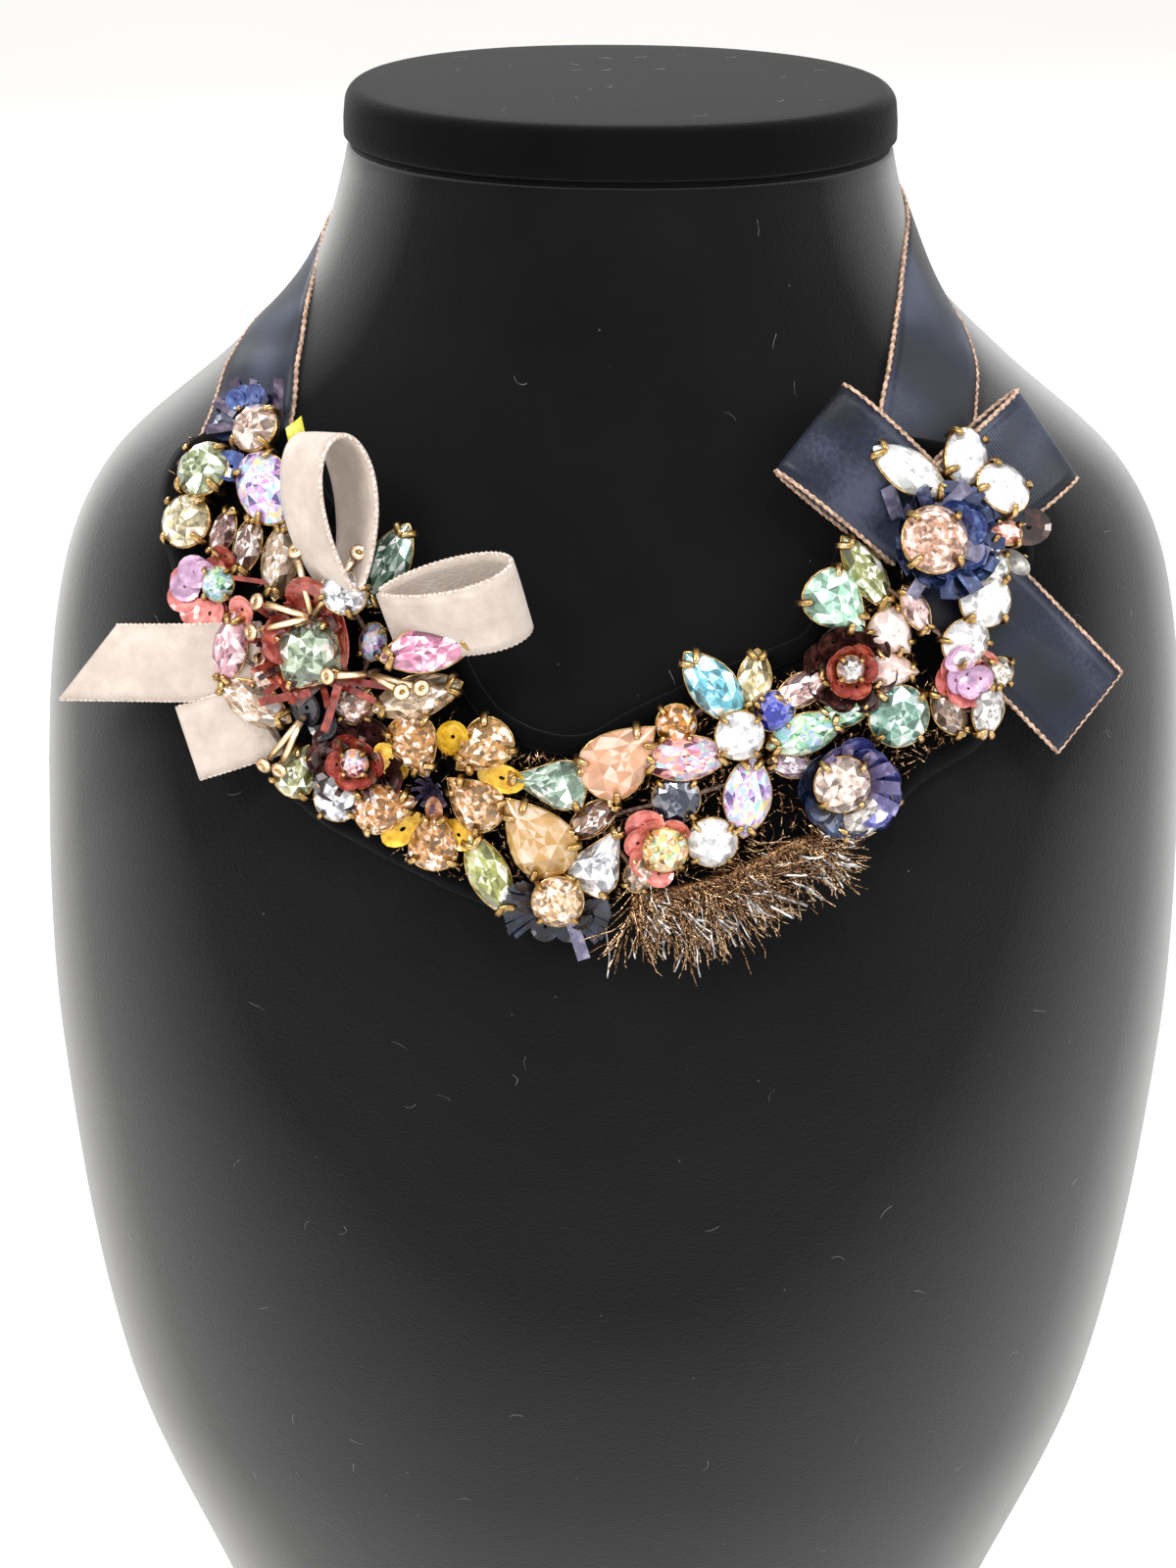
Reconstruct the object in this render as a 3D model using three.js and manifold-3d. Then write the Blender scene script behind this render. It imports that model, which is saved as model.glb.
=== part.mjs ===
// A bib necklace of claw-set crystals, sequin flowers and ribbon bows, worn by a velvet neck bust.
// Millimetres, +Z up, the front faces -Y. The origin is the middle of the bust's flat foot.
import * as THREE from 'three';
import { mergeVertices } from 'three/addons/utils/BufferGeometryUtils.js';
import Module from 'manifold-3d';

const wasm = await Module();
wasm.setup();

// Driving dimensions
const BUST_HEIGHT = 340;
const BUST_WIDTH = 217;
const BUST_DEPTH = 126;
const BUST_SQUARENESS = 2.15;
const CAP_THICKNESS = 9;
const CAP_OVERHANG = 0.8;
const CAP_ROUNDING = 2.6;
const SEAM_DEPTH = 0.9;
const TOUCH = 0.35;
const BIB_THICKNESS = 2;
const SATIN_WIDTH = 19;
const SATIN_THICKNESS = 1;
const VELVET_WIDTH = 13.5;
const VELVET_THICKNESS = 1.4;
const LOOP_SEWN_SHARE = 0.3;
const CLASP_LENGTH = 9;
const CLASP_THICKNESS = 2.2;
const GIRDLE_SHARE = 0.12;
const CUP_SHARE = 0.5;
const CUP_FOOT = 0.72;
const TABLE_SHARE = 0.56;
const CLAW_WIDTH = 1.1;
const CLAW_THICKNESS = 0.8;
const CLAW_SPREAD = 0.94;
const PAILLETTE_THICKNESS = 0.7;
const THREAD_DIAMETER = 1.2;
const STEM_DIAMETER = 4;
const BUGLE_DIAMETER = 1.8;
const PIN_BEAD_DIAMETER = 3.5;
const FRINGE_HEAD_THICKNESS = 1.6;
const LOCK_WIDTH = 2.6;
const LOCK_THICKNESS = 1.3;
const LOCK_TIP_SHARE = 0.35;

// Where an eye looking at the front stands: aside from the middle, in front of the bust and above its top.
// Places on the necklace are given in the 1200 x 1600 picture that it sees, and are cast onto the bust.
const EYE_ASIDE = -4.8;
const EYE_CLEARANCE = 378;
const EYE_RISE = 84;
const EYE_TILT = 26;
const EYE_ROLL = -0.4;
const PICTURE_FOCUS = 2600;
const PICTURE_MIDDLE = { px: 600, py: 800 };

// How finely things are meshed
const BUST_SIDES = 28;
const RIBBON_STEPS = 16;
const STONE_SIDES = 10;
const SMALL_STONE_SIDES = 8;
const SMALL_STONE = 9;
const ROOM_SIDES = 12;
const THREAD_SIDES = 4;
const SMOOTHING = 0.12;

const rad = THREE.MathUtils.degToRad;
const vec = (x, y, z) => new THREE.Vector3(x, y, z);
const table = (columns, rows) => rows.map((row) => (
  Object.fromEntries(row.map((value, k) => [columns[k], value]))));

// Bust sections from the foot up. rise is a share of BUST_HEIGHT, half of half BUST_WIDTH,
// and front and back are shares of BUST_DEPTH from the foot's middle.
const BUST_SECTIONS = [
  { rise: 0.0, half: 0.684, front: 0.4, back: 0.4 },
  { rise: 0.088, half: 0.781, front: 0.44, back: 0.42 },
  { rise: 0.247, half: 0.935, front: 0.485, back: 0.445 },
  { rise: 0.47, half: 1.0, front: 0.5, back: 0.452 },
  { rise: 0.63, half: 0.986, front: 0.468, back: 0.44 },
  { rise: 0.745, half: 0.938, front: 0.405, back: 0.415 },
  { rise: 0.806, half: 0.848, front: 0.35, back: 0.39 },
  { rise: 0.862, half: 0.642, front: 0.29, back: 0.373 },
  { rise: 0.903, half: 0.512, front: 0.254, back: 0.365 },
  { rise: 0.962, half: 0.443, front: 0.238, back: 0.365 },
  { rise: 1.0, half: 0.43, front: 0.235, back: 0.365 },
];

// Heights of the bust's rings as shares of its height below the cap, closest where it curves in to the neck
const BUST_RINGS = [0, 0.13, 0.3, 0.47, 0.62, 0.72, 0.78, 0.815, 0.842, 0.866, 0.888, 0.912, 0.945, 1];

// The edges of the bib, from its left end round the front to its right end
const BIB_EDGES = [
  { innerX: 300, innerY: 440, outerX: 222, outerY: 440 },
  { innerX: 318, innerY: 474, outerX: 182, outerY: 468 },
  { innerX: 330, innerY: 512, outerX: 168, outerY: 520 },
  { innerX: 372, innerY: 556, outerX: 180, outerY: 580 },
  { innerX: 425, innerY: 612, outerX: 196, outerY: 640 },
  { innerX: 462, innerY: 660, outerX: 218, outerY: 700 },
  { innerX: 482, innerY: 700, outerX: 262, outerY: 768 },
  { innerX: 506, innerY: 730, outerX: 318, outerY: 828 },
  { innerX: 545, innerY: 752, outerX: 385, outerY: 868 },
  { innerX: 596, innerY: 758, outerX: 466, outerY: 908 },
  { innerX: 648, innerY: 732, outerX: 552, outerY: 938 },
  { innerX: 690, innerY: 712, outerX: 640, outerY: 930 },
  { innerX: 736, innerY: 690, outerX: 715, outerY: 900 },
  { innerX: 785, innerY: 672, outerX: 790, outerY: 868 },
  { innerX: 828, innerY: 650, outerX: 880, outerY: 846 },
  { innerX: 845, innerY: 612, outerX: 940, outerY: 795 },
  { innerX: 858, innerY: 572, outerX: 1000, outerY: 755 },
  { innerX: 882, innerY: 525, outerX: 1035, outerY: 690 },
  { innerX: 900, innerY: 485, outerX: 1046, outerY: 600 },
  { innerX: 910, innerY: 462, outerX: 1046, outerY: 520 },
  { innerX: 914, innerY: 446, outerX: 1006, outerY: 462 },
];

// The neck ribbon's middle on each side, from under the bib's end round to the back of the neck. turn is
// degrees round from the front and rise is a share of BUST_HEIGHT.
const NECK_RIBBON_LEFT = [
  { turn: -50, rise: 0.832 },
  { turn: -54, rise: 0.847 },
  { turn: -61, rise: 0.863 },
  { turn: -68, rise: 0.875 },
  { turn: -77, rise: 0.886 },
  { turn: -95, rise: 0.9 },
  { turn: -120, rise: 0.911 },
  { turn: -150, rise: 0.917 },
];
const NECK_RIBBON_RIGHT = [
  { turn: 39, rise: 0.834 },
  { turn: 43, rise: 0.851 },
  { turn: 50, rise: 0.868 },
  { turn: 57, rise: 0.88 },
  { turn: 65, rise: 0.892 },
  { turn: 74, rise: 0.905 },
  { turn: 90, rise: 0.917 },
  { turn: 120, rise: 0.922 },
  { turn: 150, rise: 0.92 },
];
const NECK_BACK_RISE = 0.918;

// Claw-set stones, upper layers first. turn is the long axis or the pear's point, in degrees up from the
// picture's right. lift raises a stone off the bib, and kin joins small ones into one sewn cluster.
const STONES = table(['name', 'cut', 'px', 'py', 'long', 'wide', 'high', 'turn', 'lift', 'kin'], [
  ['aurora_round_centre', 'round', 755, 751, 8, 8, 4.6, 0, 2.2],
  ['rose_round_large', 'round', 955, 550, 11, 11, 6, 0, 5.4],
  ['rose_round_violet', 'round', 860, 801, 9.4, 9.4, 5, 0, 1.6],
  ['amber_round_lower', 'round', 569, 921, 8.6, 8.6, 5.2, 0, 1.6],
  ['green_cushion', 'cushion', 315, 668, 10.6, 10, 5.2, 15, 2.6],
  ['turquoise_navette', 'navette', 729, 702, 15, 7.6, 4.2, -50, 0],
  ['rose_navette', 'navette', 700, 774, 15, 7.4, 4.2, 7, 0],
  ['aurora_navette_low', 'navette', 763, 813, 14, 8, 4.2, 84, 0],
  ['mint_navette', 'navette', 822, 749, 13.4, 6.8, 4.2, 19, 0],
  ['gold_pear_1', 'pear', 423, 763, 11.0, 8.4, 4.4, -68, 0, 'gold_pear_flower'],
  ['gold_pear_2', 'pear', 491, 764, 11.0, 8.4, 4.4, 220, 0, 'gold_pear_flower'],
  ['gold_pear_3', 'pear', 393, 824, 11.2, 8.4, 4.4, 12, 0, 'gold_pear_flower'],
  ['gold_pear_4', 'pear', 482, 818, 11.2, 8.4, 4.4, 138, 0, 'gold_pear_flower'],
  ['gold_pear_5', 'pear', 442, 857, 10.6, 8.2, 4.4, 88, 0, 'gold_pear_flower'],
  ['sand_pear', 'pear', 546, 853, 15.6, 10.8, 5.2, 128, 0],
  ['peach_pear', 'pear', 634, 774, 15, 11, 5, 43, 0],
  ['sea_green_kite', 'kite', 557, 799, 13.4, 8.8, 4, 172, 0],
  ['clear_kite', 'kite', 614, 877, 12.6, 9, 4.4, 60, 0],
  ['lime_navette', 'navette', 499, 893, 15.4, 6.8, 4, -64, 0],
  ['clear_round_mid', 'round', 727, 860, 8.4, 8.4, 4.4, 0, 0],
  ['pink_navette', 'navette', 437, 662, 16, 7.4, 4.4, 12, 4.5],
  ['champagne_navette_low', 'navette', 425, 711, 15.6, 7, 4.2, 17, 0],
  ['green_navette', 'navette', 395, 577, 15, 7, 4.2, 63, 0],
  ['aurora_oval', 'oval', 270, 497, 13.6, 9.6, 4.8, -64, 0],
  ['olive_round', 'round', 205, 477, 9.6, 9.6, 5.6, 0, 0],
  ['gold_round', 'round', 188, 531, 9, 9, 5.4, 0, 0],
  ['aurora_navette_end', 'navette', 929, 480, 15, 7, 4.6, -33, 3.4],
  ['mint_pear', 'pear', 856, 617, 12.4, 9.6, 4.8, -46, 0],
  ['teal_round', 'round', 918, 731, 10.4, 10.4, 5, 0, 0],
  ['rose_round_end', 'round', 258, 435, 8.2, 8.2, 5.2, 0, 0.6, 'navy_rosette'],
  ['aurora_round_coral', 'round', 679, 868, 7.4, 7.4, 4.4, 0, 0.6, 'coral_flower'],
  ['smoke_navette_right', 'navette', 886, 832, 13, 6.4, 3.8, 36, 0, 'violet_flower'],
  ['aurora_round_small', 'round', 222, 596, 5.8, 5.8, 3.6, 0, 0.6, 'pink_flower_left'],
  ['clear_drop', 'oval', 350, 605, 7.8, 6.8, 4.6, 150, 0, 'left_small_crystals'],
  ['aurora_drop', 'oval', 380, 655, 6.2, 4.4, 4, 80, 0, 'left_small_crystals'],
  ['rose_brown_round', 'round', 362, 719, 6.8, 6.8, 3.8, 0, 0, 'left_small_crystals'],
  ['champagne_upright', 'navette', 285, 572, 13, 6.4, 4.2, 82, 0, 'left_brown_crystals'],
  ['brown_navette', 'navette', 252, 556, 10.4, 5, 3.8, 76, 0, 'left_brown_crystals'],
  ['mauve_navette', 'navette', 227, 543, 8.6, 4.4, 3.6, 68, 0, 'left_brown_crystals'],
  ['pale_pink_navette', 'navette', 233, 662, 12.6, 6.6, 4.2, 79, 0, 'left_edge_crystals'],
  ['peach_drop', 'oval', 272, 688, 6.6, 5.2, 3.6, 80, 0, 'left_edge_crystals'],
  ['champagne_navette_left', 'navette', 257, 717, 14.6, 6.8, 4.2, -26, 0, 'left_edge_crystals'],
  ['olive_drop', 'pear', 303, 786, 9.6, 7, 4, 65, 0, 'left_edge_crystals'],
  ['clear_round_low', 'round', 343, 815, 7.8, 7.8, 4, 0, 0, 'left_edge_crystals'],
  ['amber_round', 'round', 690, 739, 6.6, 6.6, 3.4, 0, 0, 'centre_back_crystals'],
  ['citrine_navette', 'navette', 770, 694, 10, 5.6, 3.6, 84, 0, 'centre_back_crystals'],
  ['cobalt_round', 'round', 790, 726, 6.8, 6.8, 3.8, 0, 0, 'centre_back_crystals'],
  ['rose_navette_back', 'navette', 818, 704, 10, 5.4, 3.6, 28, 0, 'centre_back_crystals'],
  ['mint_navette_back', 'navette', 862, 727, 8.6, 4.8, 3.4, 8, 0, 'centre_back_crystals'],
  ['brown_navette_mid', 'navette', 605, 836, 10.4, 5.2, 3.6, 37, 0, 'centre_low_crystals'],
  ['smoke_drop', 'oval', 652, 893, 6.2, 4.8, 3.4, 70, 0, 'centre_low_crystals'],
  ['black_round', 'round', 690, 816, 8, 8, 3, 0, 0, 'centre_low_crystals'],
  ['mauve_navette_low', 'navette', 808, 781, 8, 4.2, 3, -10, 0, 'centre_low_crystals'],
  ['clear_oval_end', 'oval', 987, 465, 10, 7.4, 4.6, 82, 3.4, 'right_end_crystals'],
  ['white_oval_end', 'oval', 1025, 497, 9.4, 8, 4.4, -35, 5.4, 'right_end_crystals'],
  ['coral_drop', 'oval', 1027, 543, 5.6, 4, 3.2, -10, 4.4, 'right_end_crystals'],
  ['smoke_round_end', 'round', 1015, 578, 5.4, 5.4, 3.4, 0, 3, 'right_end_crystals'],
  ['white_round', 'round', 1006, 612, 9, 9, 4.6, 0, 2, 'right_edge_crystals'],
  ['white_oval', 'oval', 986, 655, 8.4, 7.4, 4.6, 40, 2, 'right_edge_crystals'],
  ['olive_navette', 'navette', 884, 584, 14, 5.8, 4, -57, 0, 'right_blush_crystals'],
  ['blush_navette', 'navette', 935, 622, 8.6, 4.2, 3.6, -62, 1.8, 'right_blush_crystals'],
  ['blush_pear', 'pear', 912, 646, 8.6, 7.4, 4.2, -50, 0, 'right_blush_crystals'],
  ['blush_drop', 'pear', 913, 684, 8.4, 6, 4, -4, 0, 'right_blush_crystals'],
  ['smoke_round_right', 'round', 1020, 686, 5, 5, 3.4, 0, 2, 'right_edge_crystals'],
  ['clear_navette_right', 'navette', 1009, 724, 9.8, 5.6, 3.8, 80, 2, 'right_edge_crystals'],
  ['smoke_navette_small', 'navette', 969, 726, 10, 5.6, 3.8, -58, 0, 'right_edge_crystals'],
]);

// Sequin flowers, fused with the crystals whose kin is the flower's name. petals stand round a hub out to
// reach, leaning up by lean degrees, over an arc of sweep degrees from start. lift raises the hub on a
// stem, and bead is the diameter of a middle crystal, or 0.
const FLOWERS = table([
  'name', 'px', 'py', 'petals', 'reach', 'hub',
  'lean', 'start', 'sweep', 'lift', 'bead',
], [
  ['navy_flower', 955, 553, 7, 10.4, 7, 26, 10, 360, 4, 0],
  ['gold_pear_flower', 443, 803, 5, 11.4, 7, 16, -54, 360, 0, 0],
  ['navy_rosette', 258, 434, 5, 7.8, 6, 26, -60, 300, 0, 0],
  ['coral_flower', 674, 864, 4, 7.6, 6, 20, 60, 260, 0, 0],
  ['violet_flower', 862, 800, 6, 9.6, 7, 22, 0, 360, 0, 0],
  ['rust_rosette', 320, 662, 6, 8.8, 10, 46, 12, 360, 0, 0],
  ['brown_flower', 368, 774, 6, 9, 5, 26, 15, 360, 0, 4.6],
  ['rust_flower', 862, 680, 5, 7.8, 4.8, 26, 35, 360, 0, 4.4],
  ['navy_leaves', 569, 921, 6, 9, 6.6, 14, 5, 360, 0, 0],
  ['pink_flower_left', 214, 604, 3, 6.4, 5, 12, 90, 230, 0, 0],
  ['pink_flower_right', 980, 686, 3, 6, 4, 26, 150, 200, 1.6, 0],
]);

// A petal's rim, as shares of its pitch round the flower and of its length from the hub
const PETAL_OUTLINE = [[0, 0.25], [0.2, 0.95], [0.8, 0.95]];

// Bugle beads, each ending in a round gold bead. The pins of one set share a foot on a stem from the bib.
// foot and head are heights above the bib.
const PINS = table(['set', 'footX', 'footY', 'headX', 'headY', 'foot', 'head'], [
  ['bead_pins_left', 318, 630, 302, 562, 7.4, 8.6],
  ['bead_pins_left', 318, 630, 366, 564, 7.4, 8.6],
  ['bead_pins_left', 318, 630, 256, 645, 7.4, 9.4],
  ['bead_pins_left', 318, 630, 262, 614, 7.4, 9.4],
  ['bead_pins_right', 377, 688, 334, 690, 6.2, 9.4],
  ['bead_pins_right', 377, 688, 410, 706, 6.2, 8.6],
  ['bead_pins_right', 377, 688, 430, 702, 6.2, 8.6],
  ['bead_pins_low', 308, 733, 269, 781, 4, 6],
  ['bead_pins_low', 308, 733, 285, 786, 4, 6],
]);

// Bow loops. aim is the way the loop points, in degrees up from the picture's right, rise lifts it off the
// bust, roll turns the ribbon's width about aim, and gather is its share of the width at the root.
const LOOPS = table([
  'name', 'cloth', 'px', 'py', 'lift', 'aim',
  'rise', 'roll', 'reach', 'bulge', 'gather',
], [
  ['satin_loop_left', 'satin', 942, 536, 1.8, 141, 5, -8, 25.5, 5.6, 0.9],
  ['satin_loop_right', 'satin', 966, 530, 1.8, 41, 3, 6, 23.5, 5.2, 0.9],
  ['velvet_loop_upper', 'velvet', 349, 600, 8, 95, 12, -44, 25, 10, 0.7],
  ['velvet_loop_lower', 'velvet', 396, 632, 6.2, 8, 10, 34, 23, 10.5, 0.75],
]);

// Free ribbon ends. bend is how far the end has curved back towards the bust, and skew how far one corner
// of the cut end runs past the other.
const TAILS = table(['name', 'cloth', 'px', 'py', 'lift', 'aim', 'rise', 'reach', 'bend', 'skew'], [
  ['satin_tail', 'satin', 962, 577, 1, -43.5, 0, 37.5, 3, 0],
  ['velvet_tail_long', 'velvet', 262, 676, 4, 180, 4, 31, 2.4, -12],
  ['velvet_tail_short', 'velvet', 272, 734, 4.2, 197, 4, 15, 1, 0],
]);

// The fringe's sewn head and the locks that hang from it, from left to right
const FRINGE_HEAD = [
  { innerX: 645, innerY: 905, outerX: 640, outerY: 932 },
  { innerX: 690, innerY: 896, outerX: 700, outerY: 922 },
  { innerX: 745, innerY: 880, outerX: 760, outerY: 900 },
  { innerX: 800, innerY: 852, outerX: 822, outerY: 872 },
  { innerX: 838, innerY: 842, outerX: 856, outerY: 862 },
];
const FRINGE_LOCKS = 11;
const FRINGE_REACH = { left: 9.5, middle: 14, right: 8 };
const FRINGE_AIM = { left: -70, right: -22 };

const STONE_COLOURS = {
  aurora_round_centre: 0xe8e4ea, rose_round_large: 0xd9a98c, rose_round_violet: 0xe6c9b8,
  amber_round_lower: 0xd9b48a, green_cushion: 0xa9b89a, turquoise_navette: 0x6fc0d4,
  rose_navette: 0xc9a3a8, aurora_navette_low: 0xd9c4e0, mint_navette: 0xa9cdb8,
  sand_pear: 0xc39c5c, peach_pear: 0xd8a078, sea_green_kite: 0x8aa58c,
  clear_kite: 0xd6d6dc, lime_navette: 0xa9ac5e, clear_round_mid: 0xdcdce0,
  pink_navette: 0xd79ab4, champagne_navette_low: 0xd2b598,
  green_navette: 0x5f8670,
  aurora_oval: 0xb9b4bc, olive_round: 0x99a57c, gold_round: 0xd8c8a0, aurora_navette_end: 0xe2e6e6,
  mint_pear: 0xa6d2b8, teal_round: 0x82a89c,
};
const GROUP_COLOURS = {
  left_small_crystals: 0xd9c4bc, left_brown_crystals: 0xa48a76, left_edge_crystals: 0xc9a593,
  centre_back_crystals: 0xc9a070, centre_low_crystals: 0x8f7f78, right_end_crystals: 0xe0dad8,
  right_edge_crystals: 0xdcd6d2, right_blush_crystals: 0xe2c2b8,
  navy_flower: 0x27375e, gold_pear_flower: 0xd6a052, navy_rosette: 0x45446c, coral_flower: 0xd8917a,
  violet_flower: 0x4e5288, rust_rosette: 0x9c3f34, brown_flower: 0x3a2826, rust_flower: 0x6b3a34,
  navy_leaves: 0x1b2338, pink_flower_left: 0xd98890, pink_flower_right: 0xdc8f96,
};
const CLOTHS = {
  satin: { width: SATIN_WIDTH, thickness: SATIN_THICKNESS, colour: 0x1b2742, roughness: 0.45 },
  velvet: { width: VELVET_WIDTH, thickness: VELVET_THICKNESS, colour: 0xd8c4ba, roughness: 0.95 },
};
const BIB_TOP = TOUCH + BIB_THICKNESS;

// Value of one column of a table at a height share, on a smooth curve through its rows
function along(rows, column, share) {
  const last = rows.length - 1;
  let k = 0;
  while (k < last - 1 && share > rows[k + 1].rise) k += 1;
  const slope = (i) => {
    const a = Math.max(i - 1, 0);
    const b = Math.min(i + 1, last);
    return (rows[b][column] - rows[a][column]) / (rows[b].rise - rows[a].rise);
  };
  const span = rows[k + 1].rise - rows[k].rise;
  const t = (share - rows[k].rise) / span;
  const t2 = t * t;
  const t3 = t2 * t;
  return (2 * t3 - 3 * t2 + 1) * rows[k][column] + (t3 - 2 * t2 + t) * span * slope(k)
    + (3 * t2 - 2 * t3) * rows[k + 1][column] + (t3 - t2) * span * slope(k + 1);
}

function bustSection(z) {
  const share = Math.min(Math.max(z / BUST_HEIGHT, 0), 1);
  const front = along(BUST_SECTIONS, 'front', share) * BUST_DEPTH;
  const back = along(BUST_SECTIONS, 'back', share) * BUST_DEPTH;
  const half = along(BUST_SECTIONS, 'half', share) * BUST_WIDTH / 2;
  return { half, middle: (back - front) / 2, deep: (back + front) / 2 };
}

// Point of the bust's skin, turn degrees round from the front at height z
function bustPoint(turn, z) {
  const s = bustSection(z);
  const x = Math.sin(rad(turn));
  const y = -Math.cos(rad(turn));
  const p = BUST_SQUARENESS;
  const k = (Math.abs(x) ** p + Math.abs(y) ** p) ** (-1 / p);
  return vec(s.half * x * k, s.middle + s.deep * y * k, z);
}

function bustLevel(x, y, z) {
  const s = bustSection(z);
  const p = BUST_SQUARENESS;
  return (Math.abs(x / s.half) ** p + Math.abs((y - s.middle) / s.deep) ** p) ** (1 / p) - 1;
}

// The bust's outward direction at a point and the point's distance off its skin
function bustField(point) {
  const step = 0.05;
  const { x, y, z } = point;
  const slope = vec(
    bustLevel(x + step, y, z) - bustLevel(x - step, y, z),
    bustLevel(x, y + step, z) - bustLevel(x, y - step, z),
    bustLevel(x, y, z + step) - bustLevel(x, y, z - step),
  ).divideScalar(2 * step);
  const steep = slope.length();
  return { out: slope.divideScalar(steep), off: bustLevel(x, y, z) / steep };
}

function settle(point, off) {
  const p = point.clone();
  for (let i = 0; i < 6; i += 1) {
    const field = bustField(p);
    p.addScaledVector(field.out, off - field.off);
  }
  return p;
}

// The eye's place and directions
const EYE = vec(EYE_ASIDE, -BUST_DEPTH / 2 - EYE_CLEARANCE, BUST_HEIGHT + EYE_RISE);
const EYE_AHEAD = vec(0, Math.cos(rad(EYE_TILT)), -Math.sin(rad(EYE_TILT)));
const EYE_LEVEL = vec(1, 0, 0).applyAxisAngle(EYE_AHEAD, rad(EYE_ROLL));
const EYE_UP = EYE_LEVEL.clone().cross(EYE_AHEAD);

function pictureRay(px, py) {
  return EYE_AHEAD.clone().multiplyScalar(PICTURE_FOCUS)
    .addScaledVector(EYE_LEVEL, px - PICTURE_MIDDLE.px)
    .addScaledVector(EYE_UP, PICTURE_MIDDLE.py - py)
    .normalize();
}

// Where the picture point lies on the bust's skin, raised by off
function cast(px, py, off) {
  const ray = pictureRay(px, py);
  const p = EYE.clone().addScaledVector(ray, EYE.length() * 0.6);
  for (let i = 0; i < 80; i += 1) {
    p.addScaledVector(ray, (bustField(p).off - off) * 0.75);
  }
  return p;
}

// The direction in the plane across out that looks as if it points turn degrees up from the picture's right
function pictureWay(point, out, turn) {
  const ray = point.clone().sub(EYE).normalize();
  const way = EYE_LEVEL.clone().multiplyScalar(Math.cos(rad(turn)));
  way.addScaledVector(EYE_UP, Math.sin(rad(turn)));
  return way.addScaledVector(ray, -way.dot(out) / ray.dot(out)).normalize();
}

// A closed mesh from points and faces, turned so that its faces point out
function closedGeometry(points, faces) {
  const volume = faces.reduce((sum, [a, b, c]) => (
    sum + points[a].dot(points[b].clone().cross(points[c]))), 0);
  const index = volume < 0 ? faces.map(([a, b, c]) => [a, c, b]) : faces;
  const places = points.flatMap((p) => [p.x, p.y, p.z]);
  const geometry = new THREE.BufferGeometry();
  geometry.setAttribute('position', new THREE.Float32BufferAttribute(places, 3));
  geometry.setIndex(index.flat());
  return geometry;
}

// A solid through rings of as many points each, closed by a fan at each end
function ringSolid(rings) {
  const n = rings[0].length;
  const faces = [];
  for (let r = 0; r < rings.length - 1; r += 1) {
    for (let k = 0; k < n; k += 1) {
      const a = r * n + k;
      const b = r * n + (k + 1) % n;
      faces.push([a, b, b + n], [a, b + n, a + n]);
    }
  }
  const end = (rings.length - 1) * n;
  for (let k = 1; k < n - 1; k += 1) {
    faces.push([0, k + 1, k], [end, end + k, end + k + 1]);
  }
  return closedGeometry(rings.flat(), faces);
}

// A slab between a lower and an upper sheet of points, each a list of equal rows
function slab(lower, upper) {
  const rows = lower.length;
  const columns = lower[0].length;
  const at = (sheet, i, j) => sheet * rows * columns + i * columns + j;
  const faces = [];
  for (let i = 0; i < rows - 1; i += 1) {
    for (let j = 0; j < columns - 1; j += 1) {
      for (const sheet of [0, 1]) {
        const quad = [[i, j], [i + 1, j], [i + 1, j + 1], [i, j + 1]].map(([k, l]) => at(sheet, k, l));
        if (sheet) quad.reverse();
        faces.push([quad[0], quad[1], quad[2]], [quad[0], quad[2], quad[3]]);
      }
    }
  }
  const wall = (i, j, k, l) => faces.push(
    [at(0, i, j), at(0, k, l), at(1, k, l)],
    [at(0, i, j), at(1, k, l), at(1, i, j)],
  );
  for (let i = 0; i < rows - 1; i += 1) {
    wall(i + 1, 0, i, 0);
    wall(i, columns - 1, i + 1, columns - 1);
  }
  for (let j = 0; j < columns - 1; j += 1) {
    wall(0, j, 0, j + 1);
    wall(rows - 1, j + 1, rows - 1, j);
  }
  return closedGeometry([...lower.flat(), ...upper.flat()], faces);
}

function toSolid(geometry) {
  const bare = geometry.clone();
  bare.deleteAttribute('normal');
  bare.deleteAttribute('uv');
  const merged = mergeVertices(bare, 1e-5);
  return new wasm.Manifold(new wasm.Mesh({
    numProp: 3,
    vertProperties: new Float32Array(merged.attributes.position.array),
    triVerts: new Uint32Array(merged.index.array),
  }));
}

function toGeometry(solid) {
  const mesh = solid.getMesh();
  const places = new Float32Array(mesh.vertProperties);
  const geometry = new THREE.BufferGeometry();
  geometry.setAttribute('position', new THREE.BufferAttribute(places, 3));
  geometry.setIndex([...mesh.triVerts]);
  return geometry;
}

// The largest body of a solid that cuts may have parted
function mainBody(solid) {
  return solid.decompose().sort((a, b) => b.volume() - a.volume())[0];
}

const necklace = new THREE.Group();
const kept = [];

function material(colour, roughness, metalness = 0) {
  return new THREE.MeshStandardMaterial({ color: colour, roughness, metalness, flatShading: true });
}

const boxesMeet = (a, b) => [0, 1, 2].every((k) => a.min[k] < b.max[k] && b.min[k] < a.max[k]);

// Adds a piece, cut clear of the room that the pieces before it keep
function addPiece(name, solid, room, look) {
  const box = solid.boundingBox();
  const near = kept.filter((k) => boxesMeet(k.box, box));
  const cleared = near.reduce((left, k) => left.subtract(k.room), solid);
  const body = mainBody(mainBody(cleared).simplify(SMOOTHING));
  kept.push({ room, box: room.boundingBox() });
  const middle = new THREE.Vector3();
  const geometry = toGeometry(body);
  geometry.computeBoundingBox();
  geometry.boundingBox.getCenter(middle);
  geometry.translate(-middle.x, -middle.y, -middle.z);
  const mesh = new THREE.Mesh(geometry, look);
  mesh.name = name;
  mesh.position.copy(middle);
  necklace.add(mesh);
}

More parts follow.
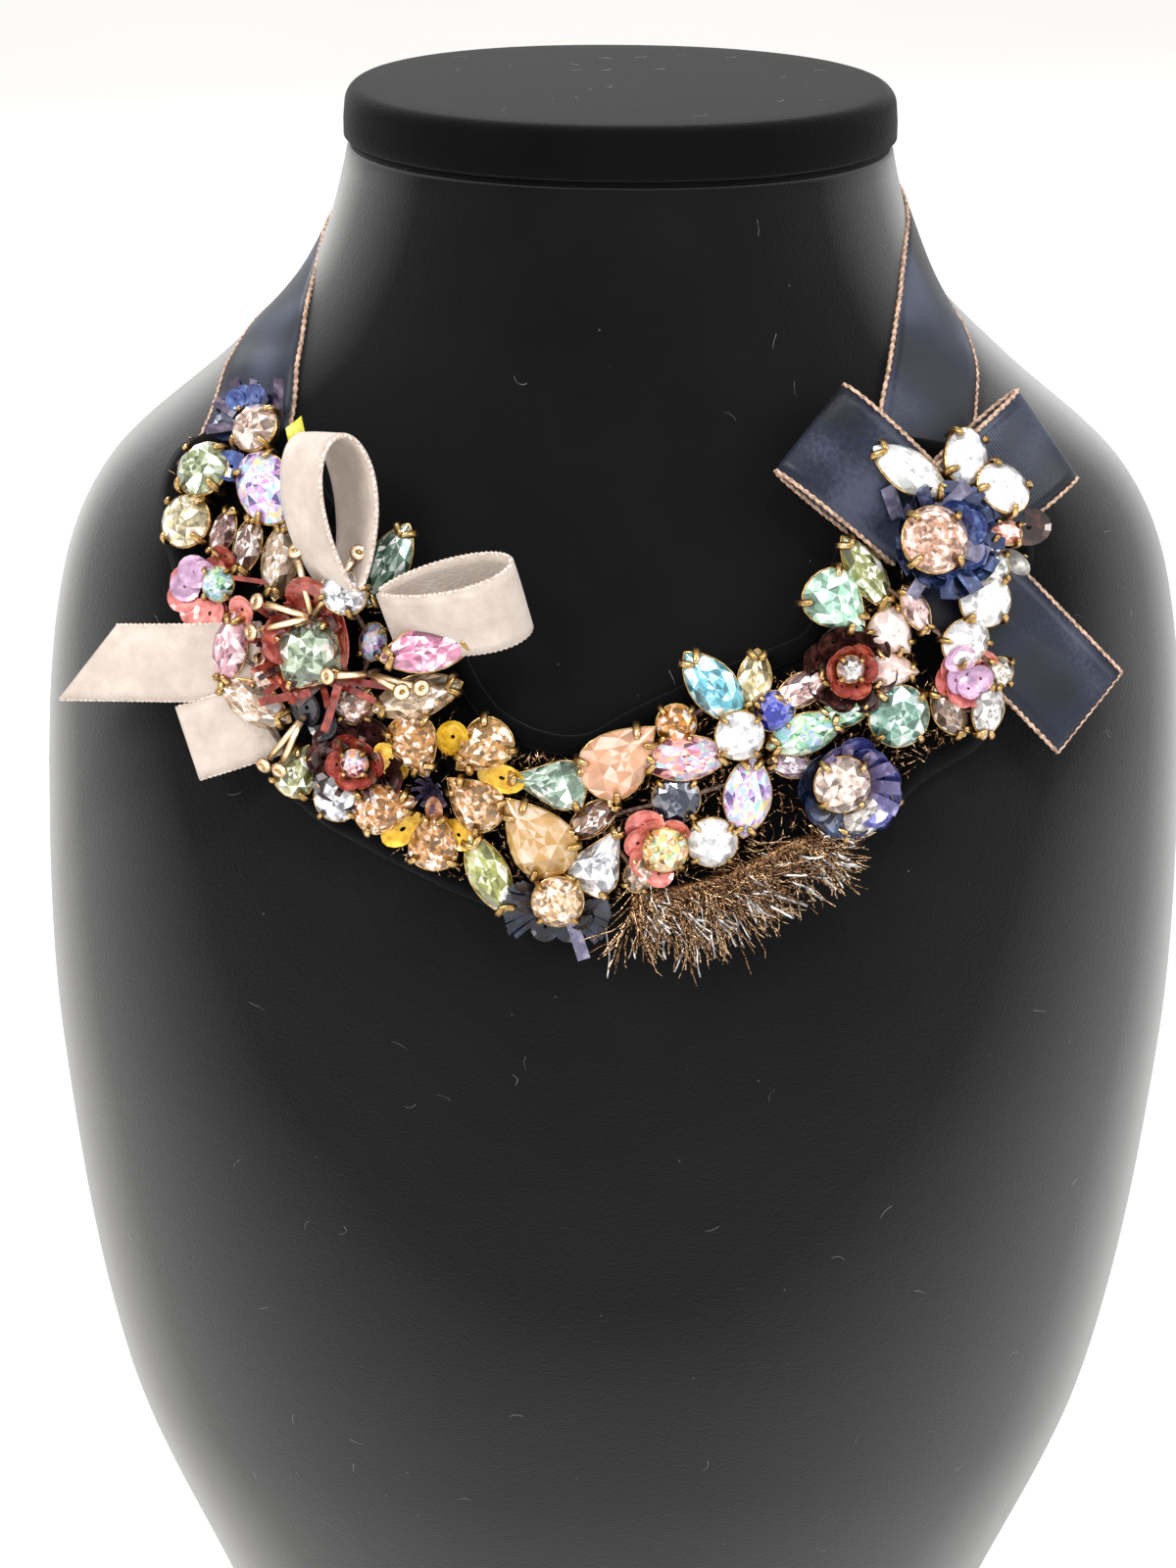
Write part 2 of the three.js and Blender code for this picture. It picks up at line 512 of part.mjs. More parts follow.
// Half outline of a cut in its own plane, as unit length and width at an angle round it
const CUTS = {
  round: (a) => [Math.cos(a), Math.sin(a)],
  oval: (a) => [Math.cos(a), Math.sin(a)],
  navette: (a) => [Math.cos(a), Math.sin(a) * Math.abs(Math.sin(a)) ** 0.7],
  pear: (a) => [Math.cos(a), Math.sin(a) * Math.sin(a / 2) / 0.77],
  cushion: (a) => {
    const k = (Math.abs(Math.cos(a)) ** 4 + Math.abs(Math.sin(a)) ** 4) ** (-0.25);
    return [Math.cos(a) * k, Math.sin(a) * k];
  },
  kite: (a) => {
    const u = Math.cos(a);
    const side = u > -0.4 ? (1 - u) / 1.4 : 1 - (-0.4 - u) * 0.5;
    return [u, Math.sign(Math.sin(a)) * side * Math.min(1, Math.abs(Math.sin(a)) * 4)];
  },
};

function outline(stone, scale) {
  const { sides } = stone;
  const points = [];
  for (let k = 0; k < sides; k += 1) {
    const [u, v] = CUTS[stone.cut](2 * Math.PI * k / sides);
    points.push([u * scale * stone.long / 2, v * scale * stone.wide / 2]);
  }
  return points;
}

const sidesOf = (stone) => (stone.kin || stone.long < SMALL_STONE ? SMALL_STONE_SIDES : STONE_SIDES);

// The stone's seat: its middle at the bib, its outward direction and its long axis
function seatOf(stone) {
  const face = cast(stone.px, stone.py, BIB_TOP + stone.lift + stone.high * 0.7);
  const { out } = bustField(face);
  const axis = pictureWay(face, out, stone.turn);
  const side = out.clone().cross(axis);
  const foot = settle(face, BIB_TOP + stone.lift);
  const corners = outline({ ...stone, sides: SMALL_STONE_SIDES }, CUP_FOOT);
  const lowest = () => Math.min(...corners.map(([u, v]) => (
    bustField(foot.clone().addScaledVector(axis, u).addScaledVector(side, v)).off)));
  for (let i = 0; i < 4; i += 1) {
    foot.addScaledVector(out, BIB_TOP + TOUCH + stone.lift - lowest());
  }
  return { foot, out, axis, side };
}

// A cut stone fused to its cup, grown by grow on every side
function stoneSolid(stone, seat, grow) {
  const { foot, out, axis, side } = seat;
  const sized = {
    ...stone,
    sides: sidesOf(stone),
    long: stone.long + 2 * grow,
    wide: stone.wide + 2 * grow,
  };
  const ring = (scale, height) => outline(sized, scale).map(([u, v]) => (
    foot.clone().addScaledVector(axis, u).addScaledVector(side, v).addScaledVector(out, height)));
  const low = stone.high * CUP_SHARE;
  const high = low + stone.high * GIRDLE_SHARE;
  const girdle = stone.kin ? [ring(1, (low + high) / 2)] : [ring(1, low - grow), ring(1, high + grow)];
  return toSolid(ringSolid([ring(CUP_FOOT, -grow), ...girdle, ring(TABLE_SHARE, stone.high + grow)]));
}

// Four claws that stand on the cup and fold over the girdle
function clawSolids(stone, seat) {
  const { foot, out, axis, side } = seat;
  const bend = stone.cut === 'navette' || stone.cut === 'kite' ? 32 : 45;
  return [bend, 180 - bend, 180 + bend, 360 - bend].map((angle) => {
    const [u, v] = CUTS[stone.cut](rad(angle));
    const spot = vec(u * stone.long * CLAW_SPREAD / 2, v * stone.wide * CLAW_SPREAD / 2, 0);
    const tall = stone.high * (CUP_SHARE + GIRDLE_SHARE);
    const claw = new THREE.BoxGeometry(CLAW_THICKNESS, CLAW_WIDTH, tall);
    claw.translate(0, 0, stone.high * 0.5);
    claw.rotateZ(Math.atan2(spot.y * stone.long, spot.x * stone.wide));
    claw.translate(spot.x, spot.y, 0);
    claw.applyMatrix4(new THREE.Matrix4().makeBasis(axis, side, out).setPosition(foot));
    return toSolid(claw);
  });
}

function threadBetween(a, b, grow) {
  const way = b.clone().sub(a);
  const radius = THREAD_DIAMETER / 2 + grow * 1.4;
  const rod = new THREE.CylinderGeometry(radius, radius, way.length(), THREAD_SIDES);
  rod.applyQuaternion(new THREE.Quaternion().setFromUnitVectors(vec(0, 1, 0), way.clone().normalize()));
  const middle = a.clone().add(b).divideScalar(2);
  rod.translate(middle.x, middle.y, middle.z);
  return toSolid(rod);
}

function disc(middle, out, diameter, thickness) {
  const round = new THREE.CylinderGeometry(diameter / 2, diameter / 2, thickness, 8);
  round.applyQuaternion(new THREE.Quaternion().setFromUnitVectors(vec(0, 1, 0), out));
  round.translate(middle.x, middle.y, middle.z);
  return toSolid(round);
}

// A flower of sequins: a dish whose rim is cut into petals, with a middle crystal or a stem where asked
function flowerSolid(flower, grow) {
  const middle = cast(flower.px, flower.py, BIB_TOP);
  const { out } = bustField(middle);
  const base = settle(middle, BIB_TOP + TOUCH * 2 + flower.lift);
  const axis = pictureWay(middle, out, 0);
  const side = out.clone().cross(axis);
  const slope = Math.tan(rad(flower.lean));
  const pitch = flower.sweep / flower.petals;
  const spots = [];
  for (let k = 0; k < flower.petals; k += 1) {
    for (const [turn, share] of PETAL_OUTLINE) {
      const far = flower.hub / 2 + (flower.reach - flower.hub / 2) * share;
      spots.push([flower.start + (k + turn) * pitch, far]);
    }
  }
  if (flower.sweep < 360) spots.push([flower.start - pitch * 0.3, flower.hub / 2]);
  const full = Array.from({ length: ROOM_SIDES }, (_, k) => [360 * k / ROOM_SIDES, flower.reach + grow]);
  const at = ([round, far], height) => base.clone()
    .addScaledVector(axis, Math.cos(rad(round)) * far)
    .addScaledVector(side, Math.sin(rad(round)) * far)
    .addScaledVector(out, height + Math.max(far - flower.hub / 2, 0) * slope);
  const rim = grow ? full : spots;
  const hub = rim.map(([round]) => [round, flower.hub / 2]);
  const low = -grow;
  const high = PAILLETTE_THICKNESS + grow;
  const ring = (points, height) => points.map((spot) => at(spot, height));
  const parts = [toSolid(ringSolid([ring(hub, low), ring(rim, low), ring(rim, high), ring(hub, high)]))];
  if (flower.lift) {
    const stem = settle(middle, BIB_TOP + TOUCH * 2 + flower.lift / 2);
    parts.push(disc(stem, out, STEM_DIAMETER + 2 * grow, flower.lift + PAILLETTE_THICKNESS + grow));
  }
  if (flower.bead) {
    const bead = { cut: 'round', long: flower.bead, wide: flower.bead, high: flower.bead * 0.8 };
    parts.push(stoneSolid(bead, { foot: base.clone(), out, axis, side }, grow));
  }
  return wasm.Manifold.union(parts);
}

function pinSolids(pin, grow) {
  const foot = cast(pin.footX, pin.footY, BIB_TOP + pin.foot);
  const head = cast(pin.headX, pin.headY, BIB_TOP + pin.head);
  const way = head.clone().sub(foot);
  const radius = BUGLE_DIAMETER / 2 + grow;
  const bugle = new THREE.CylinderGeometry(radius, radius, way.length() + 2 * grow, 4);
  bugle.applyQuaternion(new THREE.Quaternion().setFromUnitVectors(vec(0, 1, 0), way.clone().normalize()));
  const middle = foot.clone().add(head).divideScalar(2);
  bugle.translate(middle.x, middle.y, middle.z);
  const bead = new THREE.SphereGeometry(PIN_BEAD_DIAMETER / 2 + grow, 10, 4);
  bead.translate(head.x, head.y, head.z);
  const stem = threadBetween(settle(foot, BIB_TOP + TOUCH + grow), foot, grow);
  return [toSolid(bugle), toSolid(bead), stem];
}

// A flat ribbon along stations that each give a middle, a width direction and a face direction
function ribbonSolid(stations, width, thickness) {
  const edges = ({ middle, across, face, skew = 0, way, share = 1 }, height) => [-1, 1].map((end) => (
    middle.clone().addScaledVector(across, end * share * width / 2).addScaledVector(face, height)
      .addScaledVector(way, end * skew / 2)));
  const sheet = (height) => stations.map((station) => edges(station, height));
  return toSolid(slab(sheet(-thickness / 2), sheet(thickness / 2)));
}

// A loop of ribbon in two halves, joined at its far end and where it is sewn shut
function loopSolid(stations, width, thickness) {
  const half = (stations.length - 1) / 2;
  const halves = [stations.slice(0, half + 1), stations.slice(half)];
  return wasm.Manifold.union(halves.map((part) => ribbonSolid(part, width, thickness)));
}

// Directions of a ribbon that leaves the bust at a picture point
function ribbonRoot(piece, roll) {
  const root = cast(piece.px, piece.py, BIB_TOP + piece.lift);
  const { out } = bustField(root);
  const level = pictureWay(root, out, piece.aim);
  const way = level.clone().multiplyScalar(Math.cos(rad(piece.rise)));
  way.addScaledVector(out, Math.sin(rad(piece.rise)));
  const across = way.clone().cross(out).normalize().applyAxisAngle(way, rad(roll));
  return { root, way, across, face: across.clone().cross(way) };
}

function loopStations(loop, thickness, steps) {
  const { root, way, across, face } = ribbonRoot(loop, loop.roll);
  const apart = thickness * LOOP_SEWN_SHARE;
  const spot = (t) => {
    const reach = loop.reach * (1 - Math.cos(2 * Math.PI * t)) / 2;
    const rise = loop.bulge / 2 * Math.sin(2 * Math.PI * t) * Math.sin(Math.PI * t) ** 0.6 * 1.15;
    return root.clone().addScaledVector(way, reach).addScaledVector(face, rise + (1 - 2 * t) * apart);
  };
  const stations = [];
  for (let k = 0; k <= steps; k += 1) {
    const t = k / steps;
    const tangent = spot(Math.min(t + 0.01, 1)).sub(spot(Math.max(t - 0.01, 0))).normalize();
    const share = loop.gather + (1 - loop.gather) * Math.sin(Math.PI * t);
    stations.push({ middle: spot(t), across, face: across.clone().cross(tangent), way: tangent, share });
  }
  return stations;
}

function tailStations(tail, steps) {
  const { root, way, across, face } = ribbonRoot(tail, 0);
  const stations = [];
  for (let k = 0; k <= steps; k += 1) {
    const t = k / steps;
    const middle = root.clone().addScaledVector(way, tail.reach * t);
    middle.addScaledVector(face, -tail.bend * t * t);
    const tangent = way.clone().multiplyScalar(tail.reach);
    tangent.addScaledVector(face, -2 * tail.bend * t).normalize();
    const up = across.clone().cross(tangent);
    stations.push({ middle, across, face: up, way: tangent, skew: tail.skew * t });
  }
  return stations;
}

// Points on the bust's skin between an inner and an outer picture edge, smoothed along their length
function edgeSheet(edges, lengthSteps, widthSteps) {
  const curve = (x, y) => new THREE.CatmullRomCurve3(edges.map((e) => cast(e[x], e[y], 0)));
  const inner = curve('innerX', 'innerY').getPoints(lengthSteps);
  const outer = curve('outerX', 'outerY').getPoints(lengthSteps);
  return inner.map((a, i) => {
    const row = [];
    for (let j = 0; j <= widthSteps; j += 1) row.push(a.clone().lerp(outer[i], j / widthSteps));
    return row;
  });
}

// The sheet spread by more on every side
function spread(sheet, by) {
  const wide = sheet.map((row) => row.map((p) => p.clone()));
  const push = (p, from, to) => p.addScaledVector(to.clone().sub(from).normalize(), by);
  const end = sheet.length - 1;
  const rim = sheet[0].length - 1;
  for (let j = 0; j <= rim; j += 1) {
    push(wide[0][j], sheet[1][j], sheet[0][j]);
    push(wide[end][j], sheet[end - 1][j], sheet[end][j]);
  }
  for (let i = 0; i <= end; i += 1) {
    push(wide[i][0], sheet[i][1], sheet[i][0]);
    push(wide[i][rim], sheet[i][rim - 1], sheet[i][rim]);
  }
  return wide;
}

function skinSlab(sheet, low, high) {
  const at = (off) => sheet.map((row) => row.map((p) => settle(p, off)));
  return toSolid(slab(at(low), at(high)));
}

// The bust, with a seam pressed in under its cap
function bustForm(spare) {
  const low = BUST_HEIGHT - CAP_THICKNESS;
  const ring = (z, grow) => {
    const s = bustSection(z);
    const points = [];
    for (let k = 0; k < BUST_SIDES; k += 1) {
      const p = bustPoint(360 * k / BUST_SIDES, z);
      points.push(vec(p.x * (1 + grow / s.half), s.middle + (p.y - s.middle) * (1 + grow / s.deep), z));
    }
    return points;
  };
  const rings = BUST_RINGS.map((share) => ring((low - SEAM_DEPTH) * share, spare));
  rings.push(
    ring(low, -SEAM_DEPTH),
    ring(low + SEAM_DEPTH, CAP_OVERHANG),
    ring(BUST_HEIGHT - CAP_ROUNDING, CAP_OVERHANG),
    ring(BUST_HEIGHT - CAP_ROUNDING * 0.25, CAP_OVERHANG - CAP_ROUNDING * 0.25),
    ring(BUST_HEIGHT, CAP_OVERHANG - CAP_ROUNDING),
  );
  return toSolid(ringSolid(rings));
}

// One side of the neck ribbon, from the bib's end to the clasp at the back
function neckRibbon(side, path) {
  const points = path.map((p) => bustPoint(p.turn, p.rise * BUST_HEIGHT));
  points.push(bustPoint(180, NECK_BACK_RISE * BUST_HEIGHT).setX(side * (CLASP_LENGTH / 2 + TOUCH)));
  const middles = new THREE.CatmullRomCurve3(points).getPoints(RIBBON_STEPS).map((p) => settle(p, 0));
  middles[RIBBON_STEPS].setX(side * (CLASP_LENGTH / 2 + TOUCH));
  return middles.map((p, i) => {
    const { out } = bustField(p);
    const ahead = middles[Math.min(i + 1, RIBBON_STEPS)].clone().sub(middles[Math.max(i - 1, 0)]);
    const slant = out.clone().cross(ahead).normalize().multiplyScalar(side);
    const across = i === RIBBON_STEPS ? vec(0, 0, 1) : slant;
    return [-0.5, 0, 0.5].map((s) => p.clone().addScaledVector(across, s * SATIN_WIDTH));
  });
}

function backClasp() {
  const back = bustPoint(180, NECK_BACK_RISE * BUST_HEIGHT);
  const bar = new THREE.BoxGeometry(CLASP_LENGTH, CLASP_THICKNESS, SATIN_WIDTH);
  const stand = settle(back, TOUCH * 2.5 + CLASP_THICKNESS / 2);
  bar.translate(stand.x, stand.y, stand.z);
  return toSolid(bar);
}

// The sewn head of the fringe with its locks fused to it
function threadFringe() {
  const low = BIB_TOP + TOUCH;
  const head = skinSlab(edgeSheet(FRINGE_HEAD, 8, 1), low, low + FRINGE_HEAD_THICKNESS);
  const middles = edgeSheet(FRINGE_HEAD, FRINGE_LOCKS - 1, 2);
  const locks = middles.map((row, i) => {
    const t = i / (FRINGE_LOCKS - 1);
    const root = settle(row[1], low + FRINGE_HEAD_THICKNESS / 2);
    const { out } = bustField(root);
    const way = pictureWay(root, out, THREE.MathUtils.lerp(FRINGE_AIM.left, FRINGE_AIM.right, t));
    way.addScaledVector(out, 0.12 + 0.1 * (i % 3)).normalize();
    const across = out.clone().cross(way).normalize();
    const ends = t < 0.5 ? FRINGE_REACH.left : FRINGE_REACH.right;
    const reach = THREE.MathUtils.lerp(FRINGE_REACH.middle, ends, Math.abs(2 * t - 1)) + (i % 2);
    const ring = (distance, share) => [[-1, -1], [1, -1], [1, 1], [-1, 1]].map(([a, b]) => (
      root.clone().addScaledVector(way, distance)
        .addScaledVector(across, a * share * LOCK_WIDTH / 2)
        .addScaledVector(out, b * share * LOCK_THICKNESS / 2)));
    return toSolid(ringSolid([ring(0, 1), ring(reach * 0.6, 1), ring(reach, LOCK_TIP_SHARE)]));
  });
  return wasm.Manifold.union([head, ...locks]);
}

function addGround() {
  addPiece('bust_form', bustForm(0), bustForm(TOUCH * 0.7), material(0x0b0b0d, 0.95));
  const satin = material(CLOTHS.satin.colour, CLOTHS.satin.roughness);
  for (const [name, sheet, low, thickness, look] of [
    ['bib_backing', edgeSheet(BIB_EDGES, 29, 2), TOUCH, BIB_THICKNESS, material(0x101014, 0.95)],
    ['neck_ribbon_left', neckRibbon(-1, NECK_RIBBON_LEFT), 2 * TOUCH, SATIN_THICKNESS, satin],
    ['neck_ribbon_right', neckRibbon(1, NECK_RIBBON_RIGHT), 2 * TOUCH, SATIN_THICKNESS, satin],
  ]) {
    const room = skinSlab(spread(sheet, TOUCH), -1, low + thickness + TOUCH * 0.8);
    addPiece(name, skinSlab(sheet, low, low + thickness), room, look);
  }
  const clasp = backClasp();
  addPiece('back_clasp', clasp, clasp, material(0xb08d57, 0.35, 1));
}

function addStones() {
  for (const stone of STONES.filter((s) => !s.kin)) {
    const seat = seatOf(stone);
    const claws = stone.cut === 'round' && stone.lift ? clawSolids(stone, seat) : [];
    const solid = wasm.Manifold.union([stoneSolid(stone, seat, 0), ...claws]);
    const room = stoneSolid(stone, seat, TOUCH + (claws.length ? CLAW_THICKNESS * 0.7 : 0));
    addPiece(stone.name, solid, room, material(STONE_COLOURS[stone.name], 0.1));
  }
}

// A group of sewn crystals, fused with the flower of the same name or else each tied to its nearest
function addGroup(name) {
  const flower = FLOWERS.find((f) => f.name === name);
  const parts = flower ? [flowerSolid(flower, 0)] : [];
  const rooms = flower ? [flowerSolid(flower, TOUCH)] : [];
  const ties = [];
  for (const stone of STONES.filter((s) => s.kin === name)) {
    const seat = seatOf(stone);
    parts.push(stoneSolid(stone, seat, 0));
    rooms.push(stoneSolid(stone, seat, TOUCH));
    const tie = seat.foot.clone().addScaledVector(seat.out, stone.high * CUP_SHARE);
    if (ties.length && !flower) {
      const near = ties.reduce((a, b) => (a.distanceTo(tie) < b.distanceTo(tie) ? a : b));
      parts.push(threadBetween(near, tie, 0));
      rooms.push(threadBetween(near, tie, TOUCH));
    }
    ties.push(tie);
  }
  const look = material(GROUP_COLOURS[name], flower ? 0.3 : 0.15);
  addPiece(name, wasm.Manifold.union(parts), wasm.Manifold.union(rooms), look);
}

function addPins() {
  for (const set of new Set(PINS.map((pin) => pin.set))) {
    const pins = PINS.filter((pin) => pin.set === set);
    const shaped = (grow) => wasm.Manifold.union(pins.flatMap((pin) => pinSolids(pin, grow)));
    addPiece(set, shaped(0), shaped(TOUCH), material(0xc9a46c, 0.15, 0.8));
  }
}

function addBows() {
  const shaped = [
    ...LOOPS.map((loop) => [loop, (thickness) => loopStations(loop, thickness, 12), loopSolid]),
    ...TAILS.map((tail) => [tail, () => tailStations(tail, 5), ribbonSolid]),
  ];
  for (const [piece, stationsOf, solidOf] of shaped) {
    const cloth = CLOTHS[piece.cloth];
    const stations = stationsOf(cloth.thickness);
    const solid = solidOf(stations, cloth.width, cloth.thickness);
    const first = stations[0];
    const last = stations[stations.length - 1];
    first.middle.addScaledVector(first.way, -TOUCH);
    last.middle.addScaledVector(last.way, TOUCH * 2);
    const room = solidOf(stations, cloth.width + 3 * TOUCH, cloth.thickness + 2 * TOUCH);
    addPiece(piece.name, solid, room, material(cloth.colour, cloth.roughness));
  }
}

addGround();
addStones();
addGroup('navy_flower');
addBows();
addPins();
for (const name of Object.keys(GROUP_COLOURS)) {
  if (name !== 'navy_flower') addGroup(name);
}
const fringe = threadFringe();
addPiece('thread_fringe', fringe, fringe, material(0x6d4c35, 0.4, 0.6));

export default necklace;
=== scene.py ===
"""A bib necklace of crystals, sequin flowers and ribbon bows, worn by a black velvet bust.

Lengths are millimetres in the frame of the CAD model (+Z up, the front faces -Y) until a mesh is made.
Places on the necklace are given in the 1200 x 1600 picture and are cast from the camera onto the bust.
"""

import math
import random

import bmesh
import bpy
from mathutils import Matrix, Quaternion, Vector


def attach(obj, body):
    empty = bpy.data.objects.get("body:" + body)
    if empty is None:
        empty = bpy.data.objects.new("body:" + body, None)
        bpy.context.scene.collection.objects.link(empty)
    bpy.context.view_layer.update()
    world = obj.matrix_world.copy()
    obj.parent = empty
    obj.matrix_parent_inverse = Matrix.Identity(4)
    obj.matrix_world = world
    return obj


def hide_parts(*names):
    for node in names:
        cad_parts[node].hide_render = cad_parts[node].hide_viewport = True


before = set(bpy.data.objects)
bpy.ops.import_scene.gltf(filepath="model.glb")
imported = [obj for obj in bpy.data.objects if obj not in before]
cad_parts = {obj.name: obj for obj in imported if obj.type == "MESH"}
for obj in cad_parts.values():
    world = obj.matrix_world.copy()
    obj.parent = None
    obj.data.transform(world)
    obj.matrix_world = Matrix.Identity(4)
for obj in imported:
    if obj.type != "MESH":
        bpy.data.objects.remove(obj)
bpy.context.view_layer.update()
MM = 0.001

# Sizes that the CAD model shares
BUST_HEIGHT = 340
BUST_WIDTH = 217
BUST_DEPTH = 126
BUST_SQUARENESS = 2.15
CAP_THICKNESS = 9
CAP_OVERHANG = 0.8
CAP_ROUNDING = 2.6
SEAM_DEPTH = 0.9
TOUCH = 0.35
BIB_THICKNESS = 2
BIB_TOP = TOUCH + BIB_THICKNESS
SATIN_WIDTH = 19
VELVET_WIDTH = 13.5
CLASP_LENGTH = 9
CLASP_THICKNESS = 2.2
GIRDLE_SHARE = 0.12
CUP_SHARE = 0.5
CUP_FOOT = 0.72
TABLE_SHARE = 0.56
BUGLE_DIAMETER = 1.8
PIN_BEAD_DIAMETER = 3.5
FRINGE_HEAD_THICKNESS = 1.6

# Sizes of what only the scene shows
SATIN_THICKNESS = 0.45
VELVET_THICKNESS = 0.9
SATIN_WAVE = 0.12
VELVET_WAVE = 0.168
FOOT_ROUNDING = 1.4
TRIM_RADIUS = 0.46
TRIM_PITCH = 1.5
SELVEDGE_RADIUS = 0.42
SELVEDGE_PITCH = 0.9
ROLL_RADIUS = 1.7
SEQUIN_THICKNESS = 0.16
SEQUIN_CUP_SHARE = 0.14
SEQUIN_HOLE_SHARE = 0.13
STRIP_CURL_SHARE = 0.1
CLAW_WIDTH = 1.35
CLAW_THICKNESS = 0.45
CLAW_STAND = 0.5
CUP_WALL = 0.35
PIN_ROD_SHARE = 0.68
PIN_STALK_RADIUS = 0.6
TIE_RADIUS = 0.4
STEM_RADIUS = 1.6
CRIMP_LENGTH = 3.4
CRIMP_RIDGE = 0.18
CRIMP_THICKNESS_SHARE = 0.42
HOOK_WIRE = 0.4
HOOK_RING_RADIUS = 1.5

# The camera, as the photograph's: where it stands, how far it looks down and leans, and its focus
EYE = Vector((-4.8, -441, 424))
EYE_TILT = math.radians(26)
EYE_ROLL = math.radians(-0.4)
PICTURE_FOCUS = 2600
PICTURE_WIDE, PICTURE_HIGH = 1200, 1600
SENSOR = 36

AHEAD = Vector((0, math.cos(EYE_TILT), -math.sin(EYE_TILT)))
LEVEL = Quaternion(AHEAD, EYE_ROLL) @ Vector((1, 0, 0))
UP = LEVEL.cross(AHEAD)

# Bust sections from the foot up: height share, half width share, front and back depth shares
BUST_SECTIONS = [
    (0.0, 0.684, 0.4, 0.4),
    (0.088, 0.781, 0.44, 0.42),
    (0.247, 0.935, 0.485, 0.445),
    (0.47, 1.0, 0.5, 0.452),
    (0.63, 0.986, 0.468, 0.44),
    (0.745, 0.938, 0.405, 0.415),
    (0.806, 0.848, 0.35, 0.39),
    (0.862, 0.642, 0.29, 0.373),
    (0.903, 0.512, 0.254, 0.365),
    (0.962, 0.443, 0.238, 0.365),
    (1.0, 0.43, 0.235, 0.365),
]

# Inner x, inner y, outer x and outer y of the bib, from its left end to its right end
BIB_EDGES = [
    (300, 440, 222, 440),
    (318, 474, 182, 468),
    (330, 512, 168, 520),
    (372, 556, 180, 580),
    (425, 612, 196, 640),
    (462, 660, 218, 700),
    (482, 700, 262, 768),
    (506, 730, 318, 828),
    (545, 752, 385, 868),
    (596, 758, 466, 908),
    (648, 732, 552, 938),
    (690, 712, 640, 930),
    (736, 690, 715, 900),
    (785, 672, 790, 868),
    (828, 650, 880, 846),
    (845, 612, 940, 795),
    (858, 572, 1000, 755),
    (882, 525, 1035, 690),
    (900, 485, 1046, 600),
    (910, 462, 1046, 520),
    (914, 446, 1006, 462),
]
FRINGE_HEAD = [
    (645, 905, 640, 932),
    (690, 896, 700, 922),
    (745, 880, 760, 900),
    (800, 852, 822, 872),
    (838, 842, 856, 862),
]

# The glittering ground above the fringe that its upper tufts are sewn to
FRINGE_GROUND = [
    (652, 880, 655, 905),
    (705, 884, 705, 900),
    (750, 858, 755, 885),
    (792, 812, 795, 860),
    (835, 826, 838, 850),
]

# Degrees round from the front and height share of the neck ribbon's middle, to the back of the neck
NECK_RIBBONS = {
    "left": (
        -1,
        [(-50, 0.832), (-54, 0.847), (-61, 0.863), (-68, 0.875), (-77, 0.886), (-95, 0.9), (-120, 0.911),
         (-150, 0.917)],
    ),
    "right": (
        1,
        [(39, 0.834), (43, 0.851), (50, 0.868), (57, 0.88), (65, 0.892), (74, 0.905), (90, 0.917),
         (120, 0.922), (150, 0.92)],
    ),
}
NECK_BACK_RISE = 0.918

